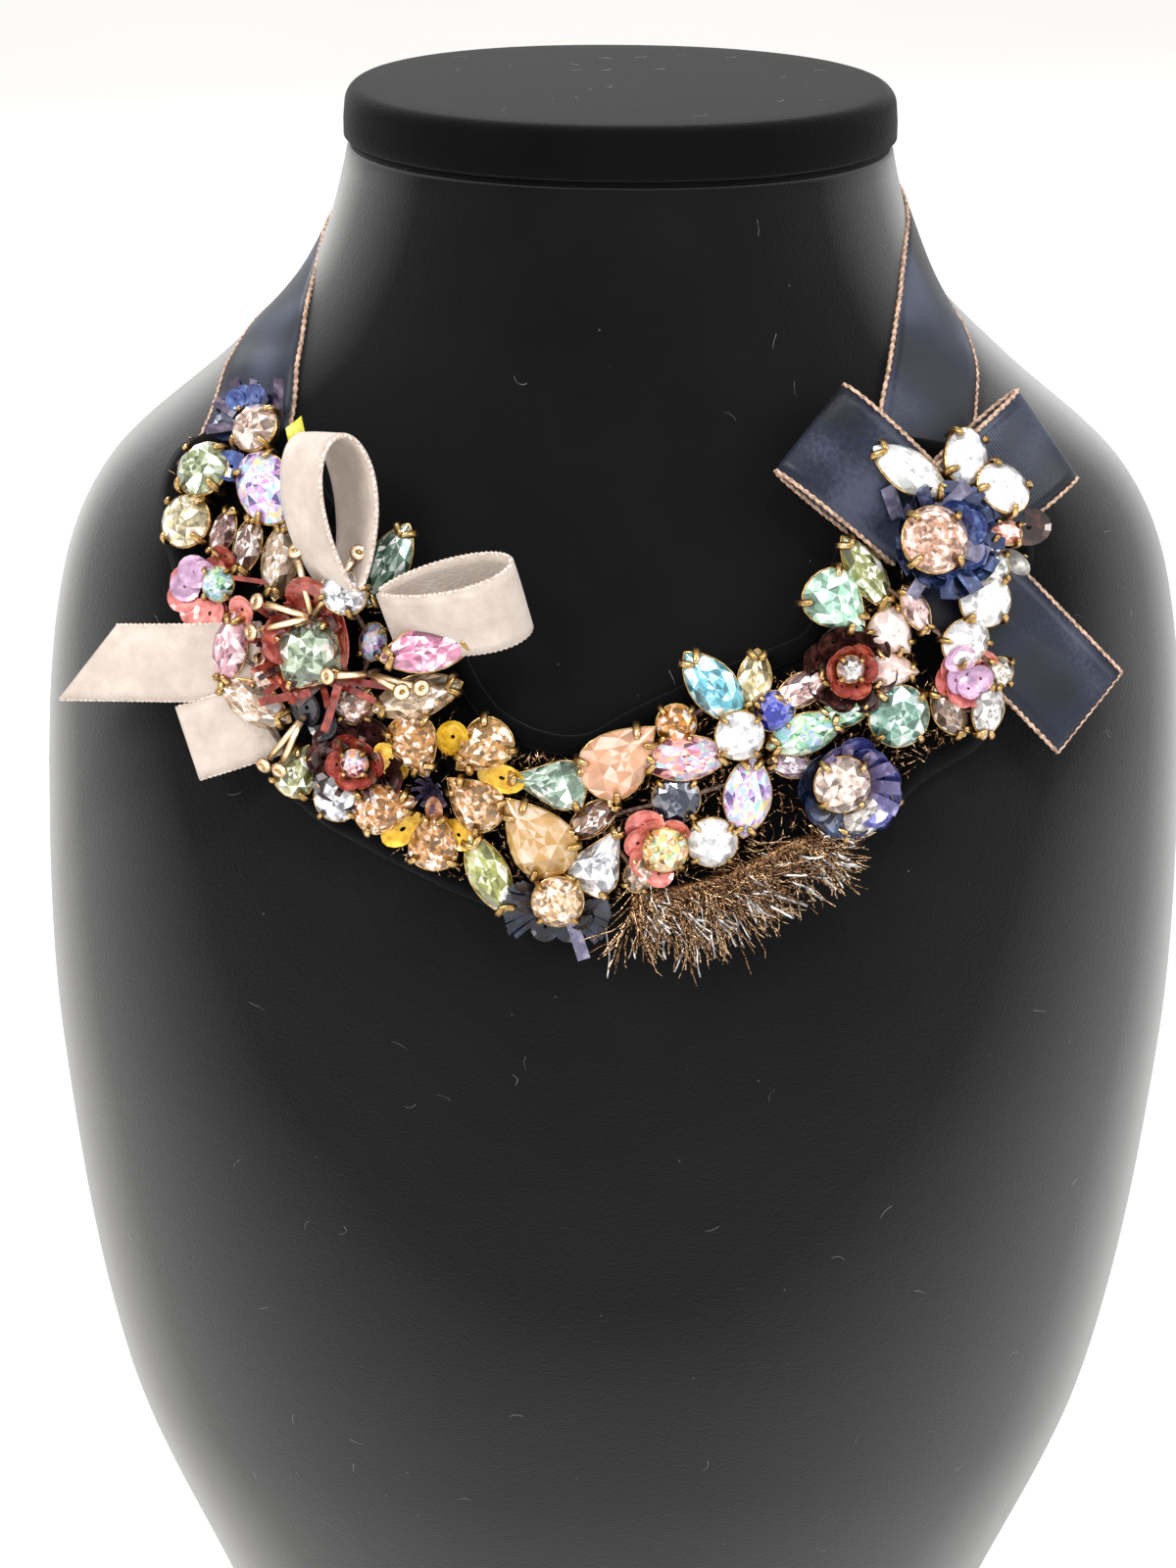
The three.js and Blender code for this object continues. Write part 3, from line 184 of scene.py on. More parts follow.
# Stones: cut, x, y, length, width, height, turn in degrees, lift off the bib, finish, colour
STONES = {
    "aurora_round_centre": ("round", 755, 751, 8, 8, 4.6, 0, 2.2, "bright", "f4f4f8"),
    "rose_round_large": ("round", 955, 550, 11, 11, 6, 0, 5.4, "foil", "d6a184"),
    "rose_round_violet": ("round", 860, 801, 9.4, 9.4, 5, 0, 1.6, "clear", "e9cdbd"),
    "amber_round_lower": ("round", 569, 921, 8.6, 8.6, 5.2, 0, 1.6, "foil", "e0b483"),
    "green_cushion": ("cushion", 315, 668, 10.6, 10, 5.2, 15, 2.6, "tint", "9fb294"),
    "turquoise_navette": ("navette", 729, 702, 15, 7.6, 4.2, -50, 0, "tint", "62bcd2"),
    "rose_navette": ("navette", 700, 774, 15, 7.4, 4.2, 7, 0, "aurora_rose", "c7929b"),
    "aurora_navette_low": ("navette", 763, 813, 14, 8, 4.2, 84, 0, "aurora", "e0d4ee"),
    "mint_navette": ("navette", 822, 749, 13.4, 6.8, 4.2, 19, 0, "aurora_green", "a2cdb4"),
    "gold_pear_1": ("pear", 423, 763, 11, 8.4, 4.4, -68, 0, "foil", "cb8d45"),
    "gold_pear_2": ("pear", 491, 764, 11, 8.4, 4.4, 220, 0, "foil", "cf9850"),
    "gold_pear_3": ("pear", 393, 824, 11.2, 8.4, 4.4, 12, 0, "foil", "c4823a"),
    "gold_pear_4": ("pear", 482, 818, 11.2, 8.4, 4.4, 138, 0, "foil", "d09754"),
    "gold_pear_5": ("pear", 442, 857, 10.6, 8.2, 4.4, 88, 0, "foil", "c98a42"),
    "sand_pear": ("pear", 546, 853, 15.6, 10.8, 5.2, 128, 0, "opal", "bd9150"),
    "peach_pear": ("pear", 634, 774, 15, 11, 5, 43, 0, "opal", "d79b74"),
    "sea_green_kite": ("kite", 557, 799, 13.4, 8.8, 4, 172, 0, "tint", "86a48e"),
    "clear_kite": ("kite", 614, 877, 12.6, 9, 4.4, 60, 0, "clear", "dcdde4"),
    "lime_navette": ("navette", 499, 893, 15.4, 6.8, 4, -64, 0, "tint", "a4a84e"),
    "clear_round_mid": ("round", 727, 860, 8.4, 8.4, 4.4, 0, 0, "bright", "e6e6ea"),
    "pink_navette": ("navette", 437, 662, 16, 7.4, 4.4, 12, 6.4, "tint", "e086ac"),
    "champagne_navette_low": ("navette", 425, 711, 15.6, 7, 4.2, 17, 0, "clear", "d6b896"),
    "green_navette": ("navette", 395, 577, 15, 7, 4.2, 63, 0, "tint", "4c7a62"),
    "aurora_oval": ("oval", 270, 497, 13.6, 9.6, 4.8, -64, 0, "aurora", "b9b0c4"),
    "olive_round": ("round", 205, 477, 9.6, 9.6, 5.6, 0, 0, "tint", "8d9a68"),
    "gold_round": ("round", 188, 531, 9, 9, 5.4, 0, 0, "clear", "ead9ac"),
    "aurora_navette_end": ("navette", 929, 480, 15, 7, 4.6, -33, 3.4, "bright", "eef2f0"),
    "mint_pear": ("pear", 856, 617, 12.4, 9.6, 4.8, -46, 0, "tint", "a6d8bc"),
    "teal_round": ("round", 918, 731, 10.4, 10.4, 5, 0, 0, "tint", "6f9c8c"),
    "rose_round_end": ("round", 258, 435, 8.2, 8.2, 5.2, 0, 0.6, "clear", "e2bfae"),
    "aurora_round_coral": ("round", 679, 868, 7.4, 7.4, 4.4, 0, 0.6, "aurora_gold", "d9b06a"),
    "smoke_navette_right": ("navette", 886, 832, 13, 6.4, 3.8, 36, 0, "clear", "bdb2ac"),
    "aurora_round_small": ("round", 222, 596, 5.8, 5.8, 3.6, 0, 0.6, "aurora_green", "9fb8a8"),
    "clear_drop": ("oval", 350, 605, 7.8, 6.8, 4.6, 150, 6, "clear", "e8e6ea"),
    "aurora_drop": ("oval", 380, 655, 6.2, 4.4, 4, 80, 0, "aurora", "cfd6e0"),
    "rose_brown_round": ("round", 362, 719, 6.8, 6.8, 3.8, 0, 0, "foil", "b08068"),
    "champagne_upright": ("navette", 285, 572, 13, 6.4, 4.2, 82, 0, "clear", "c7a888"),
    "brown_navette": ("navette", 252, 556, 10.4, 5, 3.8, 76, 0, "tint", "7d5646"),
    "mauve_navette": ("navette", 227, 543, 8.6, 4.4, 3.6, 68, 0, "tint", "8f6258"),
    "pale_pink_navette": ("navette", 233, 662, 12.6, 6.6, 4.2, 79, 0, "tint", "d49aa8"),
    "peach_drop": ("oval", 272, 688, 6.6, 5.2, 3.6, 80, 0, "clear", "e0b49c"),
    "champagne_navette_left": ("navette", 257, 717, 14.6, 6.8, 4.2, -26, 0, "clear", "cfae92"),
    "olive_drop": ("pear", 303, 786, 9.6, 7, 4, 65, 0, "tint", "a3a468"),
    "clear_round_low": ("round", 343, 815, 7.8, 7.8, 4, 0, 0, "clear", "dfdfe6"),
    "amber_round": ("round", 690, 739, 6.6, 6.6, 3.4, 0, 0, "foil", "d88a24"),
    "citrine_navette": ("navette", 770, 694, 10, 5.6, 3.6, 84, 0, "tint", "cdb87c"),
    "cobalt_round": ("round", 790, 726, 6.8, 6.8, 3.8, 0, 0, "dark", "1428b0"),
    "rose_navette_back": ("navette", 818, 704, 10, 5.4, 3.6, 28, 0, "tint", "c09490"),
    "mint_navette_back": ("navette", 862, 727, 8.6, 4.8, 3.4, 8, 0, "aurora_green", "a2bfa8"),
    "brown_navette_mid": ("navette", 605, 836, 10.4, 5.2, 3.6, 37, 0, "tint", "7c5238"),
    "smoke_drop": ("oval", 652, 893, 6.2, 4.8, 3.4, 70, 0, "clear", "c3a58c"),
    "black_round": ("round", 690, 816, 8, 8, 3, 0, 0, "dark", "1c2440"),
    "mauve_navette_low": ("navette", 808, 781, 8, 4.2, 3, -10, 0, "tint", "a58a9c"),
    "clear_oval_end": ("oval", 987, 465, 10, 7.4, 4.6, 82, 3.4, "bright", "eef0f4"),
    "white_oval_end": ("oval", 1025, 497, 9.4, 8, 4.4, -35, 5.4, "bright", "f6f4f6"),
    "coral_drop": ("oval", 1027, 543, 5.6, 4, 3.2, -10, 4.4, "tint", "d97f62"),
    "smoke_round_end": ("round", 1015, 578, 5.4, 5.4, 3.4, 0, 3, "clear", "a4a49c"),
    "white_round": ("round", 1006, 612, 9, 9, 4.6, 0, 2, "bright", "f8f6f8"),
    "white_oval": ("oval", 986, 655, 8.4, 7.4, 4.6, 40, 2, "bright", "f2eef0"),
    "olive_navette": ("navette", 884, 584, 14, 5.8, 4, -57, 0, "tint", "93984e"),
    "blush_navette": ("navette", 935, 622, 8.6, 4.2, 3.6, -62, 1.8, "clear", "ecc4c0"),
    "blush_pear": ("pear", 912, 646, 8.6, 7.4, 4.2, -50, 0, "opal", "eed6d0"),
    "blush_drop": ("pear", 913, 684, 8.4, 6, 4, -4, 0, "opal", "e8c4bc"),
    "smoke_round_right": ("round", 1020, 686, 5, 5, 3.4, 0, 2, "clear", "b6a48e"),
    "clear_navette_right": ("navette", 1009, 724, 9.8, 5.6, 3.8, 80, 2, "clear", "dcd8d6"),
    "smoke_navette_small": ("navette", 969, 726, 10, 5.6, 3.8, -58, 0, "clear", "a98c78"),
}

# Stones that are sewn on as one cluster, by the CAD node that stands for them
CLUSTERS = {
    "left_small_crystals": ["clear_drop", "aurora_drop", "rose_brown_round"],
    "left_brown_crystals": ["champagne_upright", "brown_navette", "mauve_navette"],
    "left_edge_crystals": [
        "pale_pink_navette", "peach_drop", "champagne_navette_left", "olive_drop", "clear_round_low"],
    "centre_back_crystals": [
        "amber_round", "citrine_navette", "cobalt_round", "rose_navette_back", "mint_navette_back"],
    "centre_low_crystals": ["brown_navette_mid", "smoke_drop", "black_round", "mauve_navette_low"],
    "right_end_crystals": ["clear_oval_end", "white_oval_end", "coral_drop", "smoke_round_end"],
    "right_edge_crystals": [
        "white_round", "white_oval", "smoke_round_right", "clear_navette_right", "smoke_navette_small"],
    "right_blush_crystals": ["olive_navette", "blush_navette", "blush_pear", "blush_drop"],
}

# Flowers: x, y, lift of the hub, the stones in it, and layers of discs or strips. A layer is a kind, look,
# count, distance of the piece's middle from the hub, length, width, lean, start, sweep and height.
FLOWERS = {
    "navy_flower": (955, 553, 4, [], [
        ("disc", "navy_sequin", 9, 6.6, 7.4, 7.4, 18, 0, 360, 0),
        ("disc", "blue_sequin", 6, 5.4, 6.0, 6.0, 34, 20, 360, 0.8),
        ("strip", "navy_strip", 12, 7.2, 6.2, 2.6, 14, 30, 360, 0.8)]),
    "gold_pear_flower": (443, 803, 0, [
        "gold_pear_1", "gold_pear_2", "gold_pear_3", "gold_pear_4", "gold_pear_5"], [
        ("strip", "plum_strip", 9, 3.0, 5.6, 0.8, 56, 5, 360, 1.2)]),
    "navy_rosette": (258, 434, 0, ["rose_round_end"], [
        ("disc", "navy_sequin", 7, 4.2, 5.2, 5.2, 22, -60, 300, 0.2),
        ("disc", "blue_sequin", 3, 4.8, 3.6, 3.6, 34, 70, 90, 1.0),
        ("strip", "plum_strip", 7, 5.2, 4.6, 1.9, 24, -50, 290, 0.8)]),
    "coral_flower": (674, 864, 0, ["aurora_round_coral"], [
        ("disc", "coral_sequin", 5, 4.4, 5.2, 5.2, 26, 60, 260, 0.6)]),
    "violet_flower": (862, 800, 0, ["smoke_navette_right"], [
        ("disc", "navy_sequin", 6, 6.6, 6.4, 6.4, 20, 150, 200, 0.4),
        ("disc", "violet_sequin", 6, 6.8, 6.6, 6.6, 28, -40, 190, 0.8),
        ("strip", "violet_strip", 6, 7.0, 6.2, 2.2, 30, -20, 180, 1.4)]),
    "rust_rosette": (320, 662, 0, [], [
        ("disc", "rust_sequin", 9, 6.6, 6.0, 6.0, 44, 10, 360, 1.2),
        ("disc", "coral_sequin", 5, 7.0, 5.0, 5.0, 26, 40, 360, 0.6),
        ("strip", "rust_strip", 11, 7.4, 8.8, 1.1, 34, 0, 360, 1.6),
        ("strip", "brown_strip", 7, 6.6, 7.6, 0.9, 44, 12, 360, 2.4)]),
    "brown_flower": (368, 774, 0, [], [
        ("disc", "brown_sequin", 9, 6.2, 6.4, 6.4, 24, 15, 360, 0.4),
        ("disc", "rust_sequin", 6, 4.2, 4.8, 4.8, 40, 0, 360, 1.2),
        ("strip", "brown_strip", 8, 5.0, 6.0, 1.1, 40, 20, 360, 1.2)]),
    "rust_flower": (862, 680, 0, [], [
        ("disc", "brown_sequin", 8, 6.0, 6.0, 6.0, 24, 35, 360, 0.4),
        ("disc", "rust_sequin", 6, 4.0, 4.8, 4.8, 42, 0, 360, 1.2)]),
    "navy_leaves": (569, 921, 0, [], [
        ("strip", "ink_strip", 12, 6.2, 6.8, 0.9, 20, 135, 85, 0.4),
        ("strip", "ink_strip", 8, 6.2, 6.4, 1.2, 14, -42, 58, 0.4),
        ("disc", "ink_sequin", 8, 4.4, 4.8, 4.8, 18, 20, 360, 0.2)]),
    "pink_flower_left": (214, 604, 0, ["aurora_round_small"], [
        ("disc", "coral_sequin", 6, 4.2, 5.6, 5.6, 16, 60, 280, 0.4),
        ("disc", "lilac_sequin", 4, 3.6, 5.0, 5.0, 22, 20, 200, 1.0)]),
    "pink_flower_right": (980, 686, 1.6, [], [
        ("disc", "coral_sequin", 6, 3.6, 5.4, 5.4, 20, 150, 300, 0.6),
        ("disc", "lilac_sequin", 4, 2.6, 4.6, 4.6, 32, 120, 300, 1.2)]),
}

# Middle crystals of flowers that hold no stone of their own: diameter, finish and colour
FLOWER_BEADS = {
    "brown_flower": (4.6, "aurora_rose", "d2756c"),
    "rust_flower": (4.4, "clear", "d8d2d0"),
}

# Loose sequins: kind, look, x, y, length, width, turn, lean, height off the bib, and the CAD node they join
LOOSE = [
    ("disc", "yellow_sequin", 462, 752, 8.4, 5.6, 60, 34, 3.0, "gold_pear_flower"),
    ("disc", "yellow_sequin", 399, 776, 8.8, 4.8, 115, 30, 2.6, "gold_pear_flower"),
    ("disc", "yellow_sequin", 411, 846, 8.2, 5.2, 210, 20, 2.2, "gold_pear_flower"),
    ("disc", "yellow_sequin", 512, 794, 9.0, 5.0, -8, 22, 2.4, "gold_pear_flower"),
    ("disc", "yellow_sequin", 468, 852, 6.4, 4.6, -40, 20, 2.2, "gold_pear_flower"),
    ("disc", "copper_leaf", 443, 826, 6.2, 3.0, 85, 30, 4.0, "gold_pear_flower"),
    ("disc", "blue_sequin", 236, 476, 5.6, 5.6, 180, 30, 3.0, "navy_rosette"),
    ("strip", "plum_strip", 305, 455, 5.0, 2.4, -30, 20, 2.6, "navy_rosette"),
    ("strip", "plum_strip", 246, 402, 5.6, 2.2, 100, 20, 2.8, "navy_rosette"),
    ("strip", "plum_strip", 285, 404, 5.6, 2.2, 72, 20, 2.8, "navy_rosette"),
    ("disc", "blue_sequin", 262, 404, 4.4, 4.0, 90, 40, 3.4, "navy_rosette"),
    ("strip", "neon_sequin", 303, 441, 4.6, 3.6, 20, 24, 4.4, "navy_rosette"),
    ("disc", "rust_sequin", 317, 610, 9.4, 8.6, 78, 40, 7.6, "rust_rosette"),
    ("disc", "rust_sequin", 352, 652, 7.4, 9.6, 6, 60, 7.4, "rust_rosette"),
    ("disc", "rust_sequin", 284, 652, 7.0, 8.4, 178, 52, 7.4, "rust_rosette"),
    ("strip", "rust_strip", 292, 711, 10.5, 1.4, 12, 8, 5.4, "rust_rosette"),
    ("strip", "rust_strip", 374, 697, 9.0, 1.2, -5, 10, 5.6, "rust_rosette"),
    ("strip", "rust_strip", 339, 722, 9.0, 1.4, 70, 8, 5.2, "rust_rosette"),
    ("strip", "rust_strip", 364, 706, 8.0, 1.2, -20, 12, 5.2, "rust_rosette"),
    ("strip", "rust_strip", 280, 628, 9.0, 1.5, -34, 14, 5.6, "rust_rosette"),
    ("strip", "rust_strip", 256, 592, 7.0, 0.8, -8, 10, 4.2, "rust_rosette"),
    ("strip", "brown_strip", 334, 626, 7.0, 1.1, -52, 20, 6.0, "rust_rosette"),
    ("strip", "brown_strip", 318, 706, 8.0, 1.2, 40, 14, 4.4, "rust_rosette"),
    ("disc", "ink_sequin", 313, 722, 6.6, 6.2, 20, 24, 3.4, "rust_rosette"),
    ("disc", "ink_sequin", 330, 738, 6.0, 5.6, -30, 18, 3.0, "rust_rosette"),
    ("disc", "coral_sequin", 247, 622, 5.6, 5.0, 60, 30, 3.2, "rust_rosette"),
    ("disc", "rust_sequin", 230, 568, 5.6, 4.8, 70, 50, 3.4, "rust_rosette"),
    ("disc", "coral_sequin", 658, 842, 7.2, 6.8, 95, 26, 3.0, "coral_flower"),
    ("strip", "lavender_strip", 589, 956, 7.8, 2.2, -70, 6, 2.0, "navy_leaves"),
    ("strip", "lavender_strip", 910, 512, 5.6, 2.6, 118, 16, 5.0, "navy_flower"),
    ("strip", "lavender_strip", 973, 507, 6.2, 2.6, 42, 20, 7.4, "navy_flower"),
    ("strip", "lavender_strip", 992, 563, 5.4, 3.2, -25, 20, 7.4, "navy_flower"),
    ("strip", "lavender_strip", 938, 596, 5.0, 2.2, 60, 10, 6.0, "navy_flower"),
    ("disc", "coral_sequin", 214, 626, 6.6, 6.0, -70, 16, 2.2, "pink_flower_left"),
    ("disc", "lilac_sequin", 199, 583, 6.0, 5.6, 140, 24, 3.0, "pink_flower_left"),
    ("disc", "lilac_sequin", 979, 671, 6.0, 5.2, 90, 40, 6.0, "pink_flower_right"),
    ("disc", "brown_sequin", 1050, 538, 7.4, 6.4, 5, 22, 5.0, "navy_flower"),
    ("disc", "smoke_sequin", 1036, 574, 5.8, 3.6, -50, 20, 4.4, "navy_flower"),
]

# Bead pins: the x, y and height of the foot that one set shares, and of each head
PINS = {
    "bead_pins_left": ((318, 630, 7.4), [
        (302, 562, 8.6), (366, 564, 8.6), (256, 645, 9.4), (262, 614, 9.4)]),
    "bead_pins_right": ((377, 688, 6.2), [(334, 690, 9.4), (410, 706, 8.6), (430, 702, 8.6)]),
    "bead_pins_low": ((308, 733, 4), [(269, 781, 6), (285, 786, 6)]),
}

# Bow loops: cloth, x, y, lift, aim, rise, roll, reach, bulge and the gathered end's share of the width
LOOPS = {
    "satin_loop_left": ("satin", 942, 536, 1.8, 141, 5, -8, 25.5, 5.6, 0.9),
    "satin_loop_right": ("satin", 966, 530, 1.8, 41, 3, 6, 23.5, 5.2, 0.9),
    "velvet_loop_upper": ("velvet", 349, 600, 8, 95, 12, -44, 25, 10, 0.7),
    "velvet_loop_lower": ("velvet", 396, 629, 6.2, 8, 8, 34, 23, 10.5, 0.75),
}
# Free ribbon ends: cloth, x, y, lift, aim, rise, reach, bend, skew, and how far the root dips under the
# stones over which share of the reach
TAILS = {
    "satin_tail": ("satin", 962, 577, 1, -43.5, 0, 37.5, 3, 0, 0, 1),
    "velvet_tail_long": ("velvet", 262, 676, 4, 180, 4, 31, 2.4, -12, 3.2, 0.45),
    "velvet_tail_short": ("velvet", 272, 734, 4.2, 197, 4, 15, 1, 0, 3.4, 0.7),
}

# Ribbon cloths: width, thickness, height of the waves and look
CLOTHS = {
    "satin": (SATIN_WIDTH, SATIN_THICKNESS, SATIN_WAVE, "navy_satin"),
    "velvet": (VELVET_WIDTH, VELVET_THICKNESS, VELVET_WAVE, "blush_velvet"),
}

# How finely the bust, the felt and the fringe's head are divided
BUST_SIDES, BUST_RINGS = 144, 120
BIB_STEPS, BIB_COLUMNS = 150, 12
FRINGE_STEPS, FRINGE_COLUMNS = 60, 4

# Counts of fibres, threads and tufts, and how many strands are foil and how many tufts start high up
LINT_FIBRES = 120
GLITTER_THREADS = 2600
FRINGE_TUFTS = 64
TUFT_STRANDS = 9
FOIL_SHARE = 0.17
HIGH_TUFT_SHARE = 0.3

# The fringe: reach in millimetres, the way that it points in the picture in degrees, and how far its tufts
# and single strands swing from that way
FRINGE_REACH = {"left": 9.5, "middle": 13.5, "right": 9}
FRINGE_AIM = {"left": -70, "right": -22}
TUFT_SWING, STRAND_SWING = 26, 12


# The bust's surface and the picture's rays


def along(rows, column, share):
    """One column of a table at a height share, on a smooth curve through its rows."""
    last = len(rows) - 1
    k = 0
    while k < last - 1 and share > rows[k + 1][0]:
        k += 1

    def slope(i):
        a, b = max(i - 1, 0), min(i + 1, last)
        return (rows[b][column] - rows[a][column]) / (rows[b][0] - rows[a][0])

    span = rows[k + 1][0] - rows[k][0]
    t = (share - rows[k][0]) / span
    t2, t3 = t * t, t * t * t
    return (
        (2 * t3 - 3 * t2 + 1) * rows[k][column]
        + (t3 - 2 * t2 + t) * span * slope(k)
        + (3 * t2 - 2 * t3) * rows[k + 1][column]
        + (t3 - t2) * span * slope(k + 1)
    )


def bust_section(z):
    """Half width, middle and half depth of the bust at height z."""
    share = min(max(z / BUST_HEIGHT, 0), 1)
    front = along(BUST_SECTIONS, 2, share) * BUST_DEPTH
    back = along(BUST_SECTIONS, 3, share) * BUST_DEPTH
    return along(BUST_SECTIONS, 1, share) * BUST_WIDTH / 2, (back - front) / 2, (back + front) / 2


def bust_point(turn, z):
    """The skin's point at height z, turn degrees round from the front."""
    half, middle, deep = bust_section(z)
    x, y = math.sin(math.radians(turn)), -math.cos(math.radians(turn))
    k = (abs(x) ** BUST_SQUARENESS + abs(y) ** BUST_SQUARENESS) ** (-1 / BUST_SQUARENESS)
    return Vector((half * x * k, middle + deep * y * k, z))


def bust_level(x, y, z):
    """Below 0 inside the bust, 0 on its skin and above 0 outside."""
    half, middle, deep = bust_section(z)
    p = BUST_SQUARENESS
    return (abs(x / half) ** p + abs((y - middle) / deep) ** p) ** (1 / p) - 1


def bust_field(point):
    """The bust's outward direction at a point, and the point's distance off its skin."""
    step = 0.05
    x, y, z = point
    slope = Vector((
        bust_level(x + step, y, z) - bust_level(x - step, y, z),
        bust_level(x, y + step, z) - bust_level(x, y - step, z),
        bust_level(x, y, z + step) - bust_level(x, y, z - step),
    )) / (2 * step)
    steep = slope.length
    return slope / steep, bust_level(x, y, z) / steep


def settle(point, off):
    """The point moved straight out or in until it lies off the skin by off."""
    point = point.copy()
    for _ in range(5):
        out, distance = bust_field(point)
        point += out * (off - distance)
    return point


def cast(px, py, off):
    """Where the picture point lies on the bust's skin, raised by off."""
    ray = AHEAD * PICTURE_FOCUS + LEVEL * (px - PICTURE_WIDE / 2) + UP * (PICTURE_HIGH / 2 - py)
    ray.normalize()
    point = EYE + ray * (EYE.length * 0.6)
    for _ in range(60):
        gap = bust_field(point)[1] - off
        point += ray * gap * 0.75
        if abs(gap) < 0.002:
            break
    return point


def picture_way(point, out, turn):
    """The direction across out that looks as if it points turn degrees up from the picture's right."""
    ray = (point - EYE).normalized()
    way = LEVEL * math.cos(math.radians(turn)) + UP * math.sin(math.radians(turn))
    return (way - ray * (way.dot(out) / ray.dot(out))).normalized()


def smooth_line(points, steps):
    """Evenly numbered points on a centripetal Catmull-Rom curve."""
    last = len(points) - 1
    found = []
    for i in range(steps + 1):
        place = last * i / steps
        k = min(int(place), last - 1)
        t = place - k
        b, c = points[k], points[k + 1]
        a = points[k - 1] if k else b * 2 - c
        d = points[k + 2] if k + 2 <= last else c * 2 - b
        d0, d1, d2 = (max((q - p).length ** 0.5, 1e-4) for p, q in ((a, b), (b, c), (c, d)))
        leave = ((b - a) / d0 - (c - a) / (d0 + d1) + (c - b) / d1) * d1
        reach = ((c - b) / d1 - (d - b) / (d1 + d2) + (d - c) / d2) * d1
        found.append(
            b + leave * t + (3 * (c - b) - 2 * leave - reach) * t**2
            + (2 * (b - c) + leave + reach) * t**3)
    return found


def spaced(path, step):
    """Points at equal steps along a path."""
    lengths = [0]
    for a, b in zip(path, path[1:]):
        lengths.append(lengths[-1] + (b - a).length)
    count = max(int(lengths[-1] / step), 2)
    found, k = [], 0
    for i in range(count + 1):
        goal = lengths[-1] * i / count
        while k < len(path) - 2 and lengths[k + 1] < goal:
            k += 1
        span = max(lengths[k + 1] - lengths[k], 1e-9)
        found.append(path[k].lerp(path[k + 1], min((goal - lengths[k]) / span, 1)))
    return found


def path_length(path):
    return sum((b - a).length for a, b in zip(path, path[1:]))


def edge_sheet(edges, length_steps, width_steps):
    """Rows of points on the bust's skin between an inner and an outer picture edge."""
    inner = smooth_line([cast(e[0], e[1], 0) for e in edges], length_steps)
    outer = smooth_line([cast(e[2], e[3], 0) for e in edges], length_steps)
    return [[a.lerp(b, j / width_steps) for j in range(width_steps + 1)] for a, b in zip(inner, outer)]


# Meshes


class Shape:
    """Faces gathered in millimetres, each with a look, a painted light level for gem facets and, on cloth,
    its place on the cloth.
    """

    def __init__(self):
        self.points, self.faces, self.looks, self.tones, self.places = [], [], [], [], []

    def add(self, points, faces, look, tones=None, places=None):
        start = len(self.points)
        self.points += points
        for i, face in enumerate(faces):
            self.faces.append([start + k for k in face])
            self.looks.append(look)
            self.tones.append(tones[i] if tones else 0.5)
            self.places.append([places[k] for k in face] if places else None)

    def tube(self, rings, look, closed=False):
        """Skins rings of as many points each. closed joins the last ring to the first."""
        n = len(rings[0])
        count = len(rings)
        faces = []
        for r in range(count if closed else count - 1):
            for k in range(n):
                a, b = r * n + k, r * n + (k + 1) % n
                c, d = (r + 1) % count * n + (k + 1) % n, (r + 1) % count * n + k
                faces.append([a, b, c, d])
        if not closed:
            faces.append(list(range(n))[::-1])
            faces.append([(count - 1) * n + k for k in range(n)])
        self.add([p for ring in rings for p in ring], faces, look)

    def slab(self, lower, upper, look):
        """A closed sheet between two grids of points. Its places run in millimetres."""
        rows, columns = len(lower), len(lower[0])
        size = rows * columns
        faces = []
        for i in range(rows - 1):
            for j in range(columns - 1):
                a, b = i * columns + j, (i + 1) * columns + j
                faces.append([a, b, b + 1, a + 1])
                faces.append([size + a, size + a + 1, size + b + 1, size + b])
        rim = list(range(columns - 1))
        rim += [i * columns + columns - 1 for i in range(rows - 1)]
        rim += [(rows - 1) * columns + j for j in range(columns - 1, 0, -1)]
        rim += [i * columns for i in range(rows - 1, 0, -1)]
        for k, a in enumerate(rim):
            b = rim[(k + 1) % len(rim)]
            faces.append([a, b, size + b, size + a])
        wide = path_length(lower[rows // 2])
        long = path_length([row[columns // 2] for row in lower])
        spots = [
            (wide * j / (columns - 1), long * i / (rows - 1)) for i in range(rows) for j in range(columns)]
        flat = [p for row in lower for p in row] + [p for row in upper for p in row]
        self.add(flat, faces, look, None, spots + spots)

    def build(self, name, sharp=()):
        """The mesh object, smooth but for its sharp looks."""
        mesh = bpy.data.meshes.new(name)
        mesh.from_pydata([p * MM for p in self.points], [], self.faces)
        names = sorted(set(self.looks))
        for look in names:
            mesh.materials.append(LOOKS[look])
        mesh.polygons.foreach_set("material_index", [names.index(look) for look in self.looks])
        mesh.polygons.foreach_set("use_smooth", [look not in sharp for look in self.looks])
        # Each face's painted light level, which the gem looks read.
        tone = mesh.attributes.new("tone", "FLOAT", "FACE")
        tone.data.foreach_set("value", self.tones)
        if any(self.places):
            layer = mesh.uv_layers.new(name="cloth")
            flat = []
            for face, spots in zip(self.faces, self.places):
                for k in range(len(face)):
                    flat += spots[k] if spots else (0, 0)
            layer.data.foreach_set("uv", flat)
        mesh.update()
        obj = bpy.data.objects.new(name, mesh)
        bpy.context.scene.collection.objects.link(obj)
        return obj


def turned_out(obj):
    """Turns a closed mesh's faces outwards."""
    mesh = bmesh.new()
    mesh.from_mesh(obj.data)
    bmesh.ops.recalc_face_normals(mesh, faces=mesh.faces)
    mesh.to_mesh(obj.data)
    mesh.free()
    return obj


def piece(shape, name, nodes=(), sharp=()):
    """Puts a shape into the scene as a piece that stands for CAD nodes."""
    obj = turned_out(shape.build(name, sharp))
    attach(obj, "root")
    if nodes:
        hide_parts(*nodes)
    return obj


